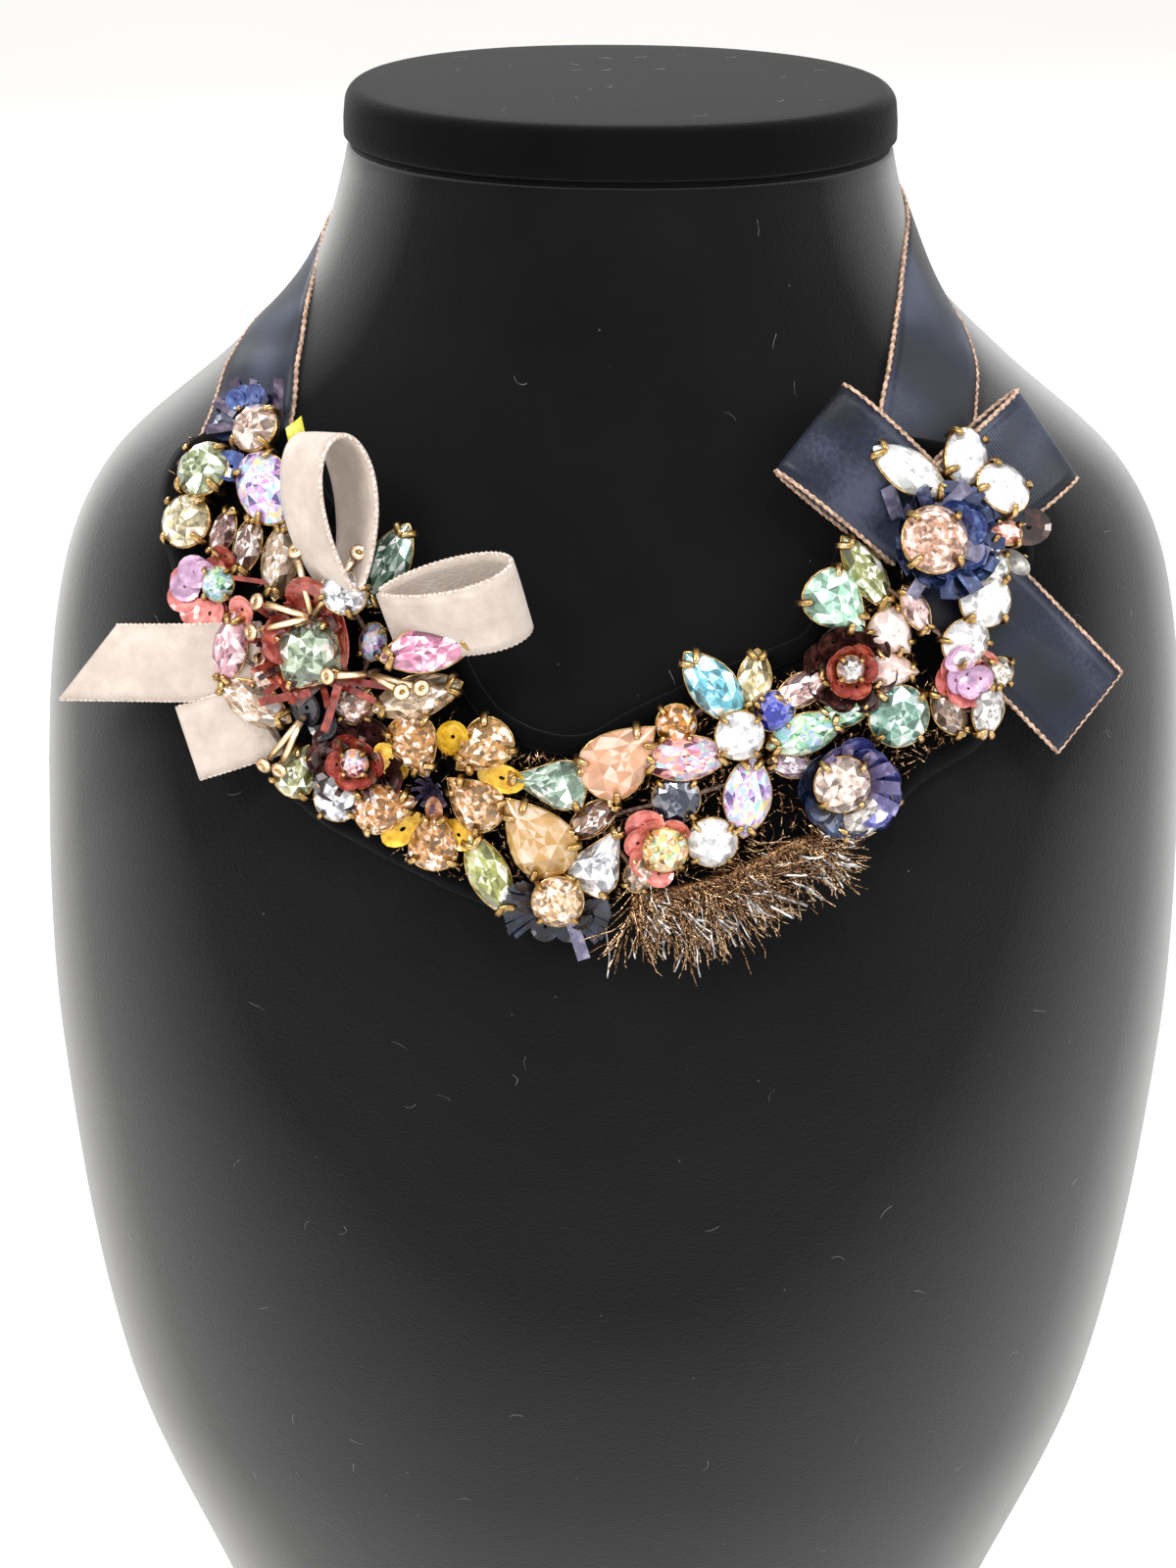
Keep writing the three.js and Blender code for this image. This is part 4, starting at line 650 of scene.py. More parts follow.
def frames(path):
    """A side direction at each point of a path, carried along it without twist."""
    ways = []
    for i in range(len(path)):
        ways.append((path[min(i + 1, len(path) - 1)] - path[max(i - 1, 0)]).normalized())
    side = ways[0].orthogonal().normalized()
    found = []
    for way in ways:
        side = (side - way * side.dot(way)).normalized()
        found.append((way, side, way.cross(side)))
    return found


def strand(shape, path, radius, look, sides=4, tip=1.0, flat=1.0):
    """A thin thread along a path. tip is the end's size and flat the thickness, as shares."""
    rings = []
    for i, (p, (_, a, b)) in enumerate(zip(path, frames(path))):
        r = radius * (1 + (tip - 1) * i / (len(path) - 1))
        turns = [2 * math.pi * k / sides for k in range(sides)]
        rings.append([p + a * (math.cos(t) * r) + b * (math.sin(t) * r * flat) for t in turns])
    shape.tube(rings, look)


def rope(shape, path, radius, pitch, look, ridges=2, sides=8):
    """A twisted cord along a path."""
    path = spaced(path, pitch / 6)
    rings = []
    for i, (p, (_, a, b)) in enumerate(zip(path, frames(path))):
        ring = []
        for k in range(sides):
            t = 2 * math.pi * k / sides
            r = radius * (0.8 + 0.2 * math.cos(ridges * t - 2 * math.pi * i / 6))
            ring.append(p + a * (math.cos(t) * r) + b * (math.sin(t) * r))
        rings.append(ring)
    shape.tube(rings, look)


def ball(shape, middle, axis, radius, look, sides=10, rows=6):
    """A round bead with its poles on axis."""
    a = axis.orthogonal().normalized()
    b = axis.cross(a)
    rings = []
    for i in range(1, rows):
        lift = math.pi * i / rows
        ring = []
        for k in range(sides):
            t = 2 * math.pi * k / sides
            out = (a * math.cos(t) + b * math.sin(t)) * (radius * math.sin(lift))
            ring.append(middle - axis * (radius * math.cos(lift)) + out)
        rings.append(ring)
    shape.tube(rings, look)


def hoop(shape, middle, axis, radius, wire, look, sides=14, rows=8):
    """A ring of wire round axis."""
    a = axis.orthogonal().normalized()
    b = axis.cross(a)
    rings = []
    for i in range(sides):
        t = 2 * math.pi * i / sides
        out = a * math.cos(t) + b * math.sin(t)
        turns = [2 * math.pi * k / rows for k in range(rows)]
        rings.append([
            middle + out * (radius + wire * math.cos(u)) + axis * (wire * math.sin(u)) for u in turns])
    shape.tube(rings, look, closed=True)


# Crystals and sequins


def cut_point(cut, a):
    """A cut's outline at an angle round it, as shares of half its length and width."""
    c, s = math.cos(a), math.sin(a)
    if cut == "navette":
        return c, s * abs(s) ** 0.7
    if cut == "pear":
        return c, s * math.sin((a % (2 * math.pi)) / 2) / 0.77
    if cut == "cushion":
        k = (abs(c) ** 4 + abs(s) ** 4) ** -0.25
        return c * k, s * k
    if cut == "kite":
        side = (1 - c) / 1.4 if c > -0.4 else 1 - (-0.4 - c) * 0.5
        return c, math.copysign(side * min(1, abs(s) * 4), s) if abs(s) > 1e-6 else 0
    return c, s


def seat_of(cut, px, py, long, wide, high, turn, lift):
    """A stone's middle at the bib, its outward direction, long axis and cross axis."""
    face = cast(px, py, BIB_TOP + lift + high * 0.7)
    out = bust_field(face)[0]
    axis = picture_way(face, out, turn)
    side = out.cross(axis)
    foot = settle(face, BIB_TOP + lift)
    rim = [cut_point(cut, math.pi * k / 4) for k in range(8)]
    for _ in range(4):
        corners = [
            foot + axis * (u * CUP_FOOT * long / 2) + side * (v * CUP_FOOT * wide / 2) for u, v in rim]
        lowest = min(bust_field(p)[1] for p in corners)
        foot += out * (BIB_TOP + TOUCH + lift - lowest)
    return foot, out, axis, side


def crystal(shape, name, cut, long, wide, high, seat, look):
    """A cut stone: a table with its star of inner facets, stars, kites, girdle facets and a foiled foot."""
    foot, out, axis, side = seat
    rng = random.Random(name)
    mains = 8
    fine = 3
    low = high * CUP_SHARE
    top = low + high * GIRDLE_SHARE

    def ring(count, scale, height, shift=0.0):
        found = []
        for k in range(count):
            u, v = cut_point(cut, 2 * math.pi * (k + shift) / count)
            spot = foot + axis * (u * scale * long / 2) + side * (v * scale * wide / 2)
            found.append(spot + out * height)
        return found

    rim = mains * fine
    points = ring(rim, CUP_FOOT, 0.35) + ring(rim, 1, low) + ring(rim, 1, top)
    shoulder = len(points)
    points += ring(mains, 0.8, top + (high - top) * 0.62, 0.5)
    table = len(points)
    points += ring(mains, TABLE_SHARE, high)
    inner = len(points)
    points += ring(mains, TABLE_SHARE * 0.5, high - 0.02, 0.5)
    centre = len(points)
    points.append(foot + out * (high - 0.03))
    # Each facet gets a painted light level, by its place in the cut and at random, which its gem look turns
    # into painted shade, light and glints.
    faces, tones = [list(range(rim))[::-1]], [0.1]

    def put(face, tone):
        faces.append(face)
        tones.append(min(max(tone + rng.uniform(-0.16, 0.16), 0), 1))

    for k in range(rim):
        n = (k + 1) % rim
        put([k, n, rim + n, rim + k], 0.2)
        put([rim + k, rim + n, 2 * rim + n, 2 * rim + k], 0.5)
    for k in range(mains):
        n = (k + 1) % mains
        before = (k - 1) % mains
        for j in range(fine):
            a, b = 2 * rim + k * fine + j, 2 * rim + (k * fine + j + 1) % rim
            put([a, b, shoulder + k], (0.25, 0.75, 0.45)[(j + k) % 3])
        corner = 2 * rim + k * fine
        tone = rng.choice((0.12, 0.5, 0.95))
        put([table + k, shoulder + before, corner], tone)
        put([table + k, corner, shoulder + k], tone)
        put([table + k, shoulder + k, table + n], rng.choice((0.3, 0.7, 1.0)))
        put([table + k, table + n, inner + k], (0.68, 0.36)[k % 2])
        put([table + n, inner + n, inner + k], (0.46, 0.8)[k % 2])
        put([inner + k, inner + n, centre], (0.74, 0.3)[k % 2])
    shape.add(points, faces, look, tones)


def setting(shape, cut, long, wide, high, seat):
    """The gold cup under a stone and the four claws folded over its girdle."""
    foot, out, axis, side = seat
    low = high * CUP_SHARE
    top = low + high * GIRDLE_SHARE
    grow = CUP_WALL * 2 / min(long, wide)

    def at(angle, scale, height):
        u, v = cut_point(cut, angle)
        return foot + axis * (u * scale * long / 2) + side * (v * scale * wide / 2) + out * height

    profile = [
        (CUP_FOOT + grow, 0), (0.93 + grow * 0.6, low * 0.5), (1 + grow * 0.6, low * 0.9),
        (1 + grow * 0.6, top * 0.92), (0.985, top * 0.92), (0.96, low * 0.8), (CUP_FOOT * 0.9, 0.2)]
    count = 24
    rings = [[at(2 * math.pi * k / count, s, h) for k in range(count)] for s, h in profile]
    shape.tube(rings, "gold_plate", closed=True)
    bend = 32 if cut in ("navette", "kite") else 45
    width = CLAW_WIDTH * (1 if long >= 9 else 0.78)
    crown = high - top
    # A claw's sections: how far in over the stone, how far off its side, and how high
    route = [
        (0, CLAW_STAND * 0.6, 0.3), (0, CLAW_STAND, low), (0, CLAW_STAND, top + 0.1),
        (0.35, CLAW_STAND * 0.7, top + crown * 0.4), (1, CLAW_STAND * 0.4, top + crown * 0.7),
        (1.6, CLAW_STAND * 0.3, top + crown * 0.84)]
    for angle in (bend, 180 - bend, 180 + bend, 360 - bend):
        a = math.radians(angle)
        tangent = (at(a + 0.05, 1, low) - at(a - 0.05, 1, low)).normalized()
        away = tangent.cross(out)
        away = away if away.dot(at(a, 1, 0) - foot) > 0 else -away
        path = [at(a, 1, h) + away * (stand - inward * long * 0.07) for inward, stand, h in route]
        rings = []
        for i, p in enumerate(path):
            way = (path[min(i + 1, 5)] - path[max(i - 1, 0)]).normalized()
            up = way.cross(tangent).normalized()
            up = up if up.dot(away + out * 0.5) > 0 else -up
            half = width / 2 * (0.55 if i == 5 else 0.9 if i == 4 else 1)
            rings.append([
                p + tangent * half, p + tangent * half * 0.6 + up * CLAW_THICKNESS,
                p - tangent * half * 0.6 + up * CLAW_THICKNESS, p - tangent * half,
                p - up * CLAW_THICKNESS * 0.4])
        shape.tube(rings, "gold_plate")


def stone_piece(shape, name):
    """Adds the named stone with its setting, and says which look its facets have."""
    cut, px, py, long, wide, high, turn, lift, _, _ = STONES[name]
    seat = seat_of(cut, px, py, long, wide, high, turn, lift)
    crystal(shape, name, cut, long, wide, high, seat, "gem_" + name)
    setting(shape, cut, long, wide, high, seat)
    return seat


def disc(shape, middle, way, normal, long, wide, look, sides=16):
    """A cupped sequin with a hole at its middle, long on way."""
    across = normal.cross(way).normalized()
    thick = SEQUIN_THICKNESS

    def ring(scale, height):
        found = []
        for k in range(sides):
            t = 2 * math.pi * k / sides
            found.append(
                middle + way * (math.cos(t) * scale * long / 2) + across * (math.sin(t) * scale * wide / 2)
                + normal * height)
        return found

    rise = SEQUIN_CUP_SHARE * wide / 2
    rings = [ring(1, rise), ring(0.72, rise * 0.3), ring(SEQUIN_HOLE_SHARE, 0)]
    rings += [ring(SEQUIN_HOLE_SHARE, -thick), ring(0.72, rise * 0.3 - thick), ring(1, rise - thick)]
    shape.tube(rings, look, closed=True)


def strip(shape, middle, way, normal, long, wide, look):
    """A short flat strip of sequin foil, long on way, curling up at its end."""
    across = normal.cross(way).normalized()
    lower, upper = [], []
    for i in range(5):
        t = i / 4
        p = middle + way * (long * (t - 0.5)) + normal * (STRIP_CURL_SHARE * long * t * t)
        lower.append([p + across * (wide / 2 * s) for s in (-1, 1)])
        upper.append([q + normal * SEQUIN_THICKNESS for q in lower[-1]])
    shape.slab(lower, upper, look)


def sequin(shape, kind, spot, level, up, lean, long, wide, look):
    """A disc or strip that leans up from its level way by lean, in radians."""
    way = level * math.cos(lean) + up * math.sin(lean)
    normal = up * math.cos(lean) - level * math.sin(lean)
    make = disc if kind == "disc" else strip
    make(shape, spot, way, normal, long, wide, look)


# Ribbons


def ribbon_root(px, py, lift, aim, rise, roll):
    """Where a ribbon leaves the stones, its way, its width direction and its face direction."""
    root = cast(px, py, BIB_TOP + lift)
    out = bust_field(root)[0]
    level = picture_way(root, out, aim)
    way = level * math.cos(math.radians(rise)) + out * math.sin(math.radians(rise))
    across = Quaternion(way, math.radians(roll)) @ way.cross(out).normalized()
    return root, way, across, across.cross(way)


def loop_stations(row, thickness, steps=56):
    """Middle, width direction, face direction, way, width share and skew along a bow loop."""
    _, px, py, lift, aim, rise, roll, reach, bulge, gather = row
    root, way, across, face = ribbon_root(px, py, lift, aim, rise, roll)
    apart = thickness / 2 + TOUCH * 0.3

    def spot(t):
        far = reach * (1 - math.cos(2 * math.pi * t)) / 2
        high = bulge / 2 * math.sin(2 * math.pi * t) * max(math.sin(math.pi * t), 0) ** 0.6 * 1.15
        return root + way * far + face * (high + (1 - 2 * t) * apart)

    stations = []
    for k in range(steps + 1):
        t = k / steps
        tangent = (spot(min(t + 0.01, 1)) - spot(max(t - 0.01, 0))).normalized()
        share = gather + (1 - gather) * math.sin(math.pi * t)
        stations.append((spot(t), across, across.cross(tangent), tangent, share, 0))
    return stations


def tail_stations(row, steps=30):
    """Stations as loop_stations gives them, along a free ribbon end."""
    _, px, py, lift, aim, rise, reach, bend, skew, dip, dip_share = row
    root, way, across, face = ribbon_root(px, py, lift, aim, rise, 0)

    def spot(t):
        fade = min(t / dip_share, 1)
        down = dip * (1 - fade * fade * (3 - 2 * fade))
        return root + way * (reach * t) - face * (bend * t * t + down)

    stations = []
    for k in range(steps + 1):
        t = k / steps
        tangent = (spot(t + 0.01) - spot(t - 0.01)).normalized()
        stations.append((spot(t), across, across.cross(tangent), tangent, 1, skew * t))
    return stations


def ribbon_grid(stations, width, height, wave, columns=8):
    """A ribbon's sheet of points, with a slow wave across it."""
    rows = []
    for i, (middle, across, face, way, share, skew) in enumerate(stations):
        row = []
        for j in range(columns + 1):
            u = -1 + 2 * j / columns
            ripple = wave * math.sin(i * 0.31 + 1.7 * u) * math.sin(math.pi * i / (len(stations) - 1))
            row.append(
                middle + across * (u * share * width / 2) + way * (u * skew / 2) + face * (height + ripple))
        rows.append(row)
    return rows


def ribbon_pieces(name, stations, cloth, cut_end=False):
    """The ribbon that stands for the CAD node name, and the trim along its edges."""
    width, thickness, wave, slot = CLOTHS[cloth]
    inset = 2 * (TRIM_RADIUS if cloth == "satin" else SELVEDGE_RADIUS)
    cloth_wide = width - inset
    shape = Shape()
    lower = ribbon_grid(stations, cloth_wide, -thickness / 2, wave)
    upper = ribbon_grid(stations, cloth_wide, thickness / 2, wave)
    shape.slab(lower, upper, slot)
    ribbon = piece(shape, name + "_cloth", [name])
    trim = Shape()
    middle = ribbon_grid(stations, cloth_wide, 0, wave)
    edges = [[row[0] for row in middle], [row[-1] for row in middle]]
    for edge in edges:
        if cloth == "satin":
            rope(trim, edge, TRIM_RADIUS, TRIM_PITCH, "pink_cord")
        else:
            rope(trim, edge, SELVEDGE_RADIUS, SELVEDGE_PITCH, "ivory_selvedge", ridges=1)
    if cut_end and cloth == "satin":
        rope(trim, middle[-1], TRIM_RADIUS * 0.8, TRIM_PITCH, "pink_cord")
    edging = piece(trim, name + "_trim")


def neck_stations(side, path, steps=90):
    """Stations along one side of the neck ribbon, which is level where it meets the clasp."""
    points = [bust_point(turn, rise * BUST_HEIGHT) for turn, rise in path]
    back = bust_point(180, NECK_BACK_RISE * BUST_HEIGHT)
    back.x = side * (CLASP_LENGTH / 2 + TOUCH)
    points.append(back)
    middles = [settle(p, 0) for p in smooth_line(points, steps)]
    middles[-1].x = back.x
    stations = []
    for i, p in enumerate(middles):
        out = bust_field(p)[0]
        ahead = (middles[min(i + 1, steps)] - middles[max(i - 1, 0)]).normalized()
        across = out.cross(ahead).normalized() * side
        level = max(0, (i / steps - 0.9) * 10)
        across = across.lerp(Vector((0, 0, 1)), level).normalized()
        stations.append((p, across, out, ahead, 1, 0))
    return stations


# Materials


def add_node(tree, kind, links=None, **settings):
    """A node with settings, its sockets fed by another socket or set to a value."""
    node = tree.nodes.new(kind)
    for key, value in settings.items():
        setattr(node, key, value)
    for socket, value in (links or {}).items():
        if isinstance(value, bpy.types.NodeSocket):
            tree.links.new(value, node.inputs[socket])
        else:
            node.inputs[socket].default_value = value
    return node


def linear(colour, share=1.0):
    """A six-figure colour as linear red, green, blue and alpha, brightened or darkened by share."""
    found = []
    for k in (0, 2, 4):
        c = int(colour[k:k + 2], 16) / 255
        found.append(min(share * (c / 12.92 if c <= 0.04045 else ((c + 0.055) / 1.055) ** 2.4), 1))
    return (*found, 1)


def grey(value):
    """A colour whose red, green and blue are all this value."""
    return (value, value, value, 1)


def shades(*stops):
    """Ramp stops from pairs of a place and a six-figure colour."""
    return [(place, linear(colour)) for place, colour in stops]


def mixed(a, b, share):
    """Colour a with this share of colour b."""
    return tuple(p + (q - p) * share for p, q in zip(a, b))


LOOKS = {}


def look(name, **sockets):
    """A new material whose shader has these sockets set. Returns its node tree and shader."""
    material = bpy.data.materials.new(name)
    material.use_nodes = True
    shader = material.node_tree.nodes["Principled BSDF"]
    for key, value in sockets.items():
        shader.inputs[key.replace("_", " ")].default_value = value
    LOOKS[name] = material
    return material.node_tree, shader


def ramp(tree, value, stops):
    """Colours by value, from stops of a place and a colour."""
    node = add_node(tree, "ShaderNodeValToRGB", {"Fac": value})
    while len(node.color_ramp.elements) < len(stops):
        node.color_ramp.elements.new(0.5)
    for element, (place, colour) in zip(node.color_ramp.elements, stops):
        element.position = place
        element.color = colour
    return node.outputs["Color"]


def bump(tree, shader, height, strength, distance):
    """Raises the surface by height over a distance in millimetres."""
    node = add_node(
        tree, "ShaderNodeBump", {"Height": height, "Strength": strength, "Distance": distance * MM})
    tree.links.new(node.outputs["Normal"], shader.inputs["Normal"])


def object_spots(tree):
    return add_node(tree, "ShaderNodeTexCoord").outputs["Object"]


def cloth_spots(tree):
    return add_node(tree, "ShaderNodeUVMap", uv_map="cloth").outputs["UV"]


def noise(tree, spots, size, detail=2.0, roughness=0.5):
    """Noise with lumps of about size millimetres, in metre spots."""
    node = add_node(
        tree, "ShaderNodeTexNoise",
        {"Vector": spots, "Scale": 1 / (size * MM), "Detail": detail, "Roughness": roughness})
    return node.outputs["Fac"]


def velvet_look(name, dark, light, sheen, lint, rim=None):
    """Deep pile with a soft sheen, shaded patches and, where asked, lint and a pale rim of painted sheen.
    """
    tree, shader = look(
        name, Roughness=0.95, Sheen_Weight=sheen, Sheen_Roughness=0.42, Specular_IOR_Level=0.05)
    spots = object_spots(tree)
    patches = noise(tree, spots, 26, 3)
    fine = noise(tree, spots, 0.55, 2)
    colour = ramp(tree, patches, shades((0.3, dark), (0.75, light)))
    if lint:
        specks = add_node(
            tree, "ShaderNodeTexVoronoi", {"Vector": spots, "Scale": 1 / (6 * MM), "Randomness": 1.0})
        flecks = ramp(tree, specks.outputs["Distance"], [(0.014, grey(1)), (0.028, grey(0))])
        colour = add_node(
            tree, "ShaderNodeMix", {"Factor": flecks, "A": colour, "B": linear("8d8d90", lint)},
            data_type="RGBA").outputs["Result"]
    # Painted sheen: the colour turns towards the pale rim colour where the surface is seen edge-on.
    if rim:
        facing = add_node(tree, "ShaderNodeLayerWeight", {"Blend": 0.5}).outputs["Facing"]
        edge = ramp(
            tree, facing, [(0.22, grey(0)), (0.52, grey(0.28)), (0.8, grey(1))])
        colour = add_node(
            tree, "ShaderNodeMix", {"Factor": edge, "A": colour, "B": linear(rim)},
            data_type="RGBA").outputs["Result"]
    tree.links.new(colour, shader.inputs["Base Color"])
    bump(tree, shader, fine, 0.5, 0.25)


def satin_look(name):
    """Navy satin: fine ribs across the ribbon, faint streaks along it and wide bands of painted sheen."""
    tree, shader = look(
        name, Specular_IOR_Level=0.35, Sheen_Weight=0.06, Sheen_Roughness=0.4, Anisotropic=0.6)
    spots = cloth_spots(tree)
    ribs = add_node(
        tree, "ShaderNodeTexWave", {"Vector": spots, "Scale": 0.9, "Distortion": 0.3, "Detail": 1.0},
        bands_direction="Y")
    threads = add_node(
        tree, "ShaderNodeTexNoise", {"Vector": spots, "Scale": 1.3, "Detail": 3.0, "Roughness": 0.6})
    # The colour is mostly wide random bands of painted sheen, from dark navy to pale grey-blue, with a
    # quarter of the thread streaks mixed in.
    bands = add_node(
        tree, "ShaderNodeMix",
        {"Factor": 0.25, "A": noise(tree, object_spots(tree), 15, 1), "B": threads.outputs["Fac"]})
    colour = ramp(
        tree, bands.outputs["Result"], shades((0.36, "060913"), (0.5, "10182c"), (0.64, "383e50")))
    tree.links.new(colour, shader.inputs["Base Color"])
    roughness = ramp(tree, threads.outputs["Fac"], [(0.2, grey(0.28)), (0.8, grey(0.42))])
    tree.links.new(roughness, shader.inputs["Roughness"])
    bump(tree, shader, ribs.outputs["Fac"], 0.25, 0.08)


def pile_look(name):
    """Pale blush velvet ribbon: a short pile that catches light in patches."""
    tree, shader = look(
        name, Roughness=0.9, Sheen_Weight=0.35, Sheen_Roughness=0.35, Specular_IOR_Level=0.2)
    spots = object_spots(tree)
    patches = noise(tree, spots, 5, 4, 0.6)
    fine = noise(tree, spots, 0.4, 2)
    colour = ramp(tree, patches, shades((0.3, "b8aaa0"), (0.55, "c6b9af"), (0.8, "d6cac1")))
    tree.links.new(colour, shader.inputs["Base Color"])
    bump(tree, shader, fine, 0.6, 0.3)


def thread_look(name, dark, light, size, metal=0.0, roughness=0.6):
    """Spun thread, or metal thread where metal is set, that varies along its length."""
    tree, shader = look(name, Metallic=metal, Roughness=roughness)
    spots = object_spots(tree)
    colour = ramp(tree, noise(tree, spots, size, 2), shades((0.4, dark), (0.6, light)))
    tree.links.new(colour, shader.inputs["Base Color"])
    bump(tree, shader, noise(tree, spots, 0.25, 1), 0.4, 0.08)


def glass_look(name):
    """Clear glass over gilt, with painted light: a painted highlight where it faces the eye and painted
    shade in deep gold towards its sides.
    """
    tree, shader = look(name, Metallic=0.6, Roughness=0.08, Coat_Weight=1.0, Coat_Roughness=0.02)
    facing = add_node(tree, "ShaderNodeLayerWeight", {"Blend": 0.5}).outputs["Facing"]
    drift = noise(tree, object_spots(tree), 2.5, 1)
    painted_facing_light_and_drift = add_node(
        tree, "ShaderNodeMath", {0: drift, 1: 0.4, 2: facing}, operation="MULTIPLY_ADD").outputs["Value"]
    # The ramp paints the highlight and shade by how squarely the rod faces the eye, with a little random
    # drift.
    colour = ramp(
        tree, painted_facing_light_and_drift, shades((0.2, "fff4de"), (0.42, "e2c08c"), (0.6, "a67c48"), (0.9, "5a3e20")))
    tree.links.new(colour, shader.inputs["Base Color"])


def gold_look(name):
    """Antique gold plate, darker in random patches and finely scratched."""
    tree, shader = look(name, Metallic=1.0)
    spots = object_spots(tree)
    wear = noise(tree, spots, 1.6, 4, 0.65)
    colour = ramp(tree, wear, shades((0.3, "7c6036"), (0.5, "b8945c"), (0.72, "ead0a0")))
    tree.links.new(colour, shader.inputs["Base Color"])
    roughness = ramp(tree, wear, [(0.3, grey(0.42)), (0.7, grey(0.16))])
    tree.links.new(roughness, shader.inputs["Roughness"])
    bump(tree, shader, noise(tree, spots, 0.5, 2), 0.2, 0.06)


# The hues that a stone with a rainbow coat shows, picked by painted facet light from its darkest facet to
# its brightest
AURORA_HUES = {
    "aurora": ["54447c", "d49ad0", "8accdc", "efe6f8", "b48ee0", "e6d49c"],
    "aurora_rose": ["5c2f3c", "c87890", "e8b090", "ece0ea", "b080b4", "9cc8c4"],
    "aurora_green": ["24443a", "78b494", "b8d8a0", "e2f0e4", "98a4cc", "7cc0bc"],
    "aurora_gold": ["5a3c18", "cc9440", "e2cc78", "f0ead2", "90bc94", "d08860"],
}
# How dark a finish's most shaded facets are painted, as a share of its colour
GEM_PAINTED_SHADE_SHARES = {"clear": 0.2, "bright": 0.5, "tint": 0.18, "foil": 0.22, "opal": 0.62, "dark": 0.12}
# The size of a finish's patches of painted sparkle in millimetres, and how far they show through
GEM_PAINTED_SPARKLE_CELLS = {"clear": (1.1, 0.4), "bright": (1.2, 0.4), "foil": (0.75, 0.6), "opal": (1.5, 0.15)}


def gem_look(name, finish, colour):
    """Cut glass: each facet has its own painted light and shade, as light turned back by the facets under
    it would give.
    """
    body = linear(colour)
    deep = GEM_PAINTED_SHADE_SHARES.get(finish, 0.25)
    cell, mingle = GEM_PAINTED_SPARKLE_CELLS.get(finish, (1.3, 0.35))
    tree, shader = look(
        name, Metallic=0.35 if finish in ("foil", "clear", "bright") else 0.12, Coat_Weight=1.0,
        Coat_Roughness=0.02, IOR=1.65)
    spots = object_spots(tree)
    # The facet's painted light level from its crystal, shifted by random drift.
    tone = add_node(tree, "ShaderNodeAttribute", attribute_name="tone").outputs["Fac"]
    drift = noise(tree, spots, 2.4, 2)
    value = add_node(
        tree, "ShaderNodeMath", {0: drift, 1: 0.5, 2: tone}, operation="MULTIPLY_ADD").outputs["Value"]
    value = add_node(tree, "ShaderNodeMath", {0: value, 1: 0.25}, operation="SUBTRACT").outputs["Value"]
    # The ramps turn low painted light levels into painted shade and high ones into painted highlights, up
    # to white on the finishes that are not aurora, opal or dark.
    white = (1, 1, 1, 1)
    if finish in AURORA_HUES:
        hues = [linear(h) for h in AURORA_HUES[finish]]
        stops = [(k / (len(hues) - 1), h) for k, h in enumerate(hues)]
    elif finish == "opal":
        stops = [(0, linear(colour, deep)), (0.45, body), (1, mixed(body, white, 0.35))]
    elif finish == "dark":
        stops = [(0, linear(colour, deep)), (0.6, body), (1, mixed(body, white, 0.2))]
    else:
        stops = [
            (0, linear(colour, deep)), (0.3, linear(colour, 0.25 + deep)), (0.62, body),
            (0.86, mixed(body, white, 0.45)), (1, white)]
    # Voronoi cells mix in patches of painted sparkle.
    painted_sparkle_cells = add_node(
        tree, "ShaderNodeTexVoronoi", {"Vector": spots, "Scale": 1 / (cell * MM)}).outputs["Color"]
    patches = add_node(tree, "ShaderNodeSeparateColor", {"Color": painted_sparkle_cells}).outputs["Red"]
    value = add_node(
        tree, "ShaderNodeMix", {"Factor": mingle, "A": value, "B": patches}).outputs["Result"]
    value = add_node(
        tree, "ShaderNodeMath", {0: value, 1: 1.5, 2: -0.27}, operation="MULTIPLY_ADD").outputs["Value"]
    tree.links.new(ramp(tree, value, stops), shader.inputs["Base Color"])
    roughness = ramp(tree, drift, [(0.2, grey(0.05)), (0.8, grey(0.12))])
    tree.links.new(roughness, shader.inputs["Roughness"])


def sequin_look(name, colour, glint):
    """Coated foil: streaked colour that turns towards glint, with a clear gloss."""
    tree, shader = look(name, Metallic=0.35, Coat_Weight=0.8, Coat_Roughness=0.08)
    spots = object_spots(tree)
    streaks = noise(tree, spots, 1.8, 3)
    colours = ramp(
        tree, streaks, [(0.3, linear(colour, 0.55)), (0.52, linear(colour)), (0.74, linear(glint))])
    tree.links.new(colours, shader.inputs["Base Color"])
    roughness = ramp(tree, streaks, [(0.3, grey(0.2)), (0.7, grey(0.34))])
    tree.links.new(roughness, shader.inputs["Roughness"])
    bump(tree, shader, noise(tree, spots, 0.6, 2), 0.15, 0.05)


# Sequin foils: colour and glint
SEQUINS = {
    "navy_sequin": ("17223e", "3c5280"),
    "blue_sequin": ("2f478c", "7e98d0"),
    "violet_sequin": ("40448a", "8086c8"),
    "lavender_strip": ("6e6a86", "a8a4be"),
    "navy_strip": ("22305a", "5c72a8"),
    "violet_strip": ("5a5488", "a49cc8"),
    "plum_strip": ("40344c", "80708c"),
    "coral_sequin": ("e2807a", "f8b4a6"),
    "ink_sequin": ("0a0e1c", "1e2844"),
    "ink_strip": ("0e1426", "2c3858"),
    "rust_sequin": ("9c3a30", "d0705c"),
    "rust_strip": ("8a3026", "c05c48"),
    "brown_sequin": ("2c1816", "6c3a34"),
    "brown_strip": ("3c2220", "7a4a42"),
    "yellow_sequin": ("eab41c", "fbdc54"),
    "copper_leaf": ("a86c48", "e0a880"),
    "lilac_sequin": ("c9a0c4", "eed0e4"),
    "neon_sequin": ("e2e01c", "f8f65c"),
    "smoke_sequin": ("8a8884", "c8c4be"),
}


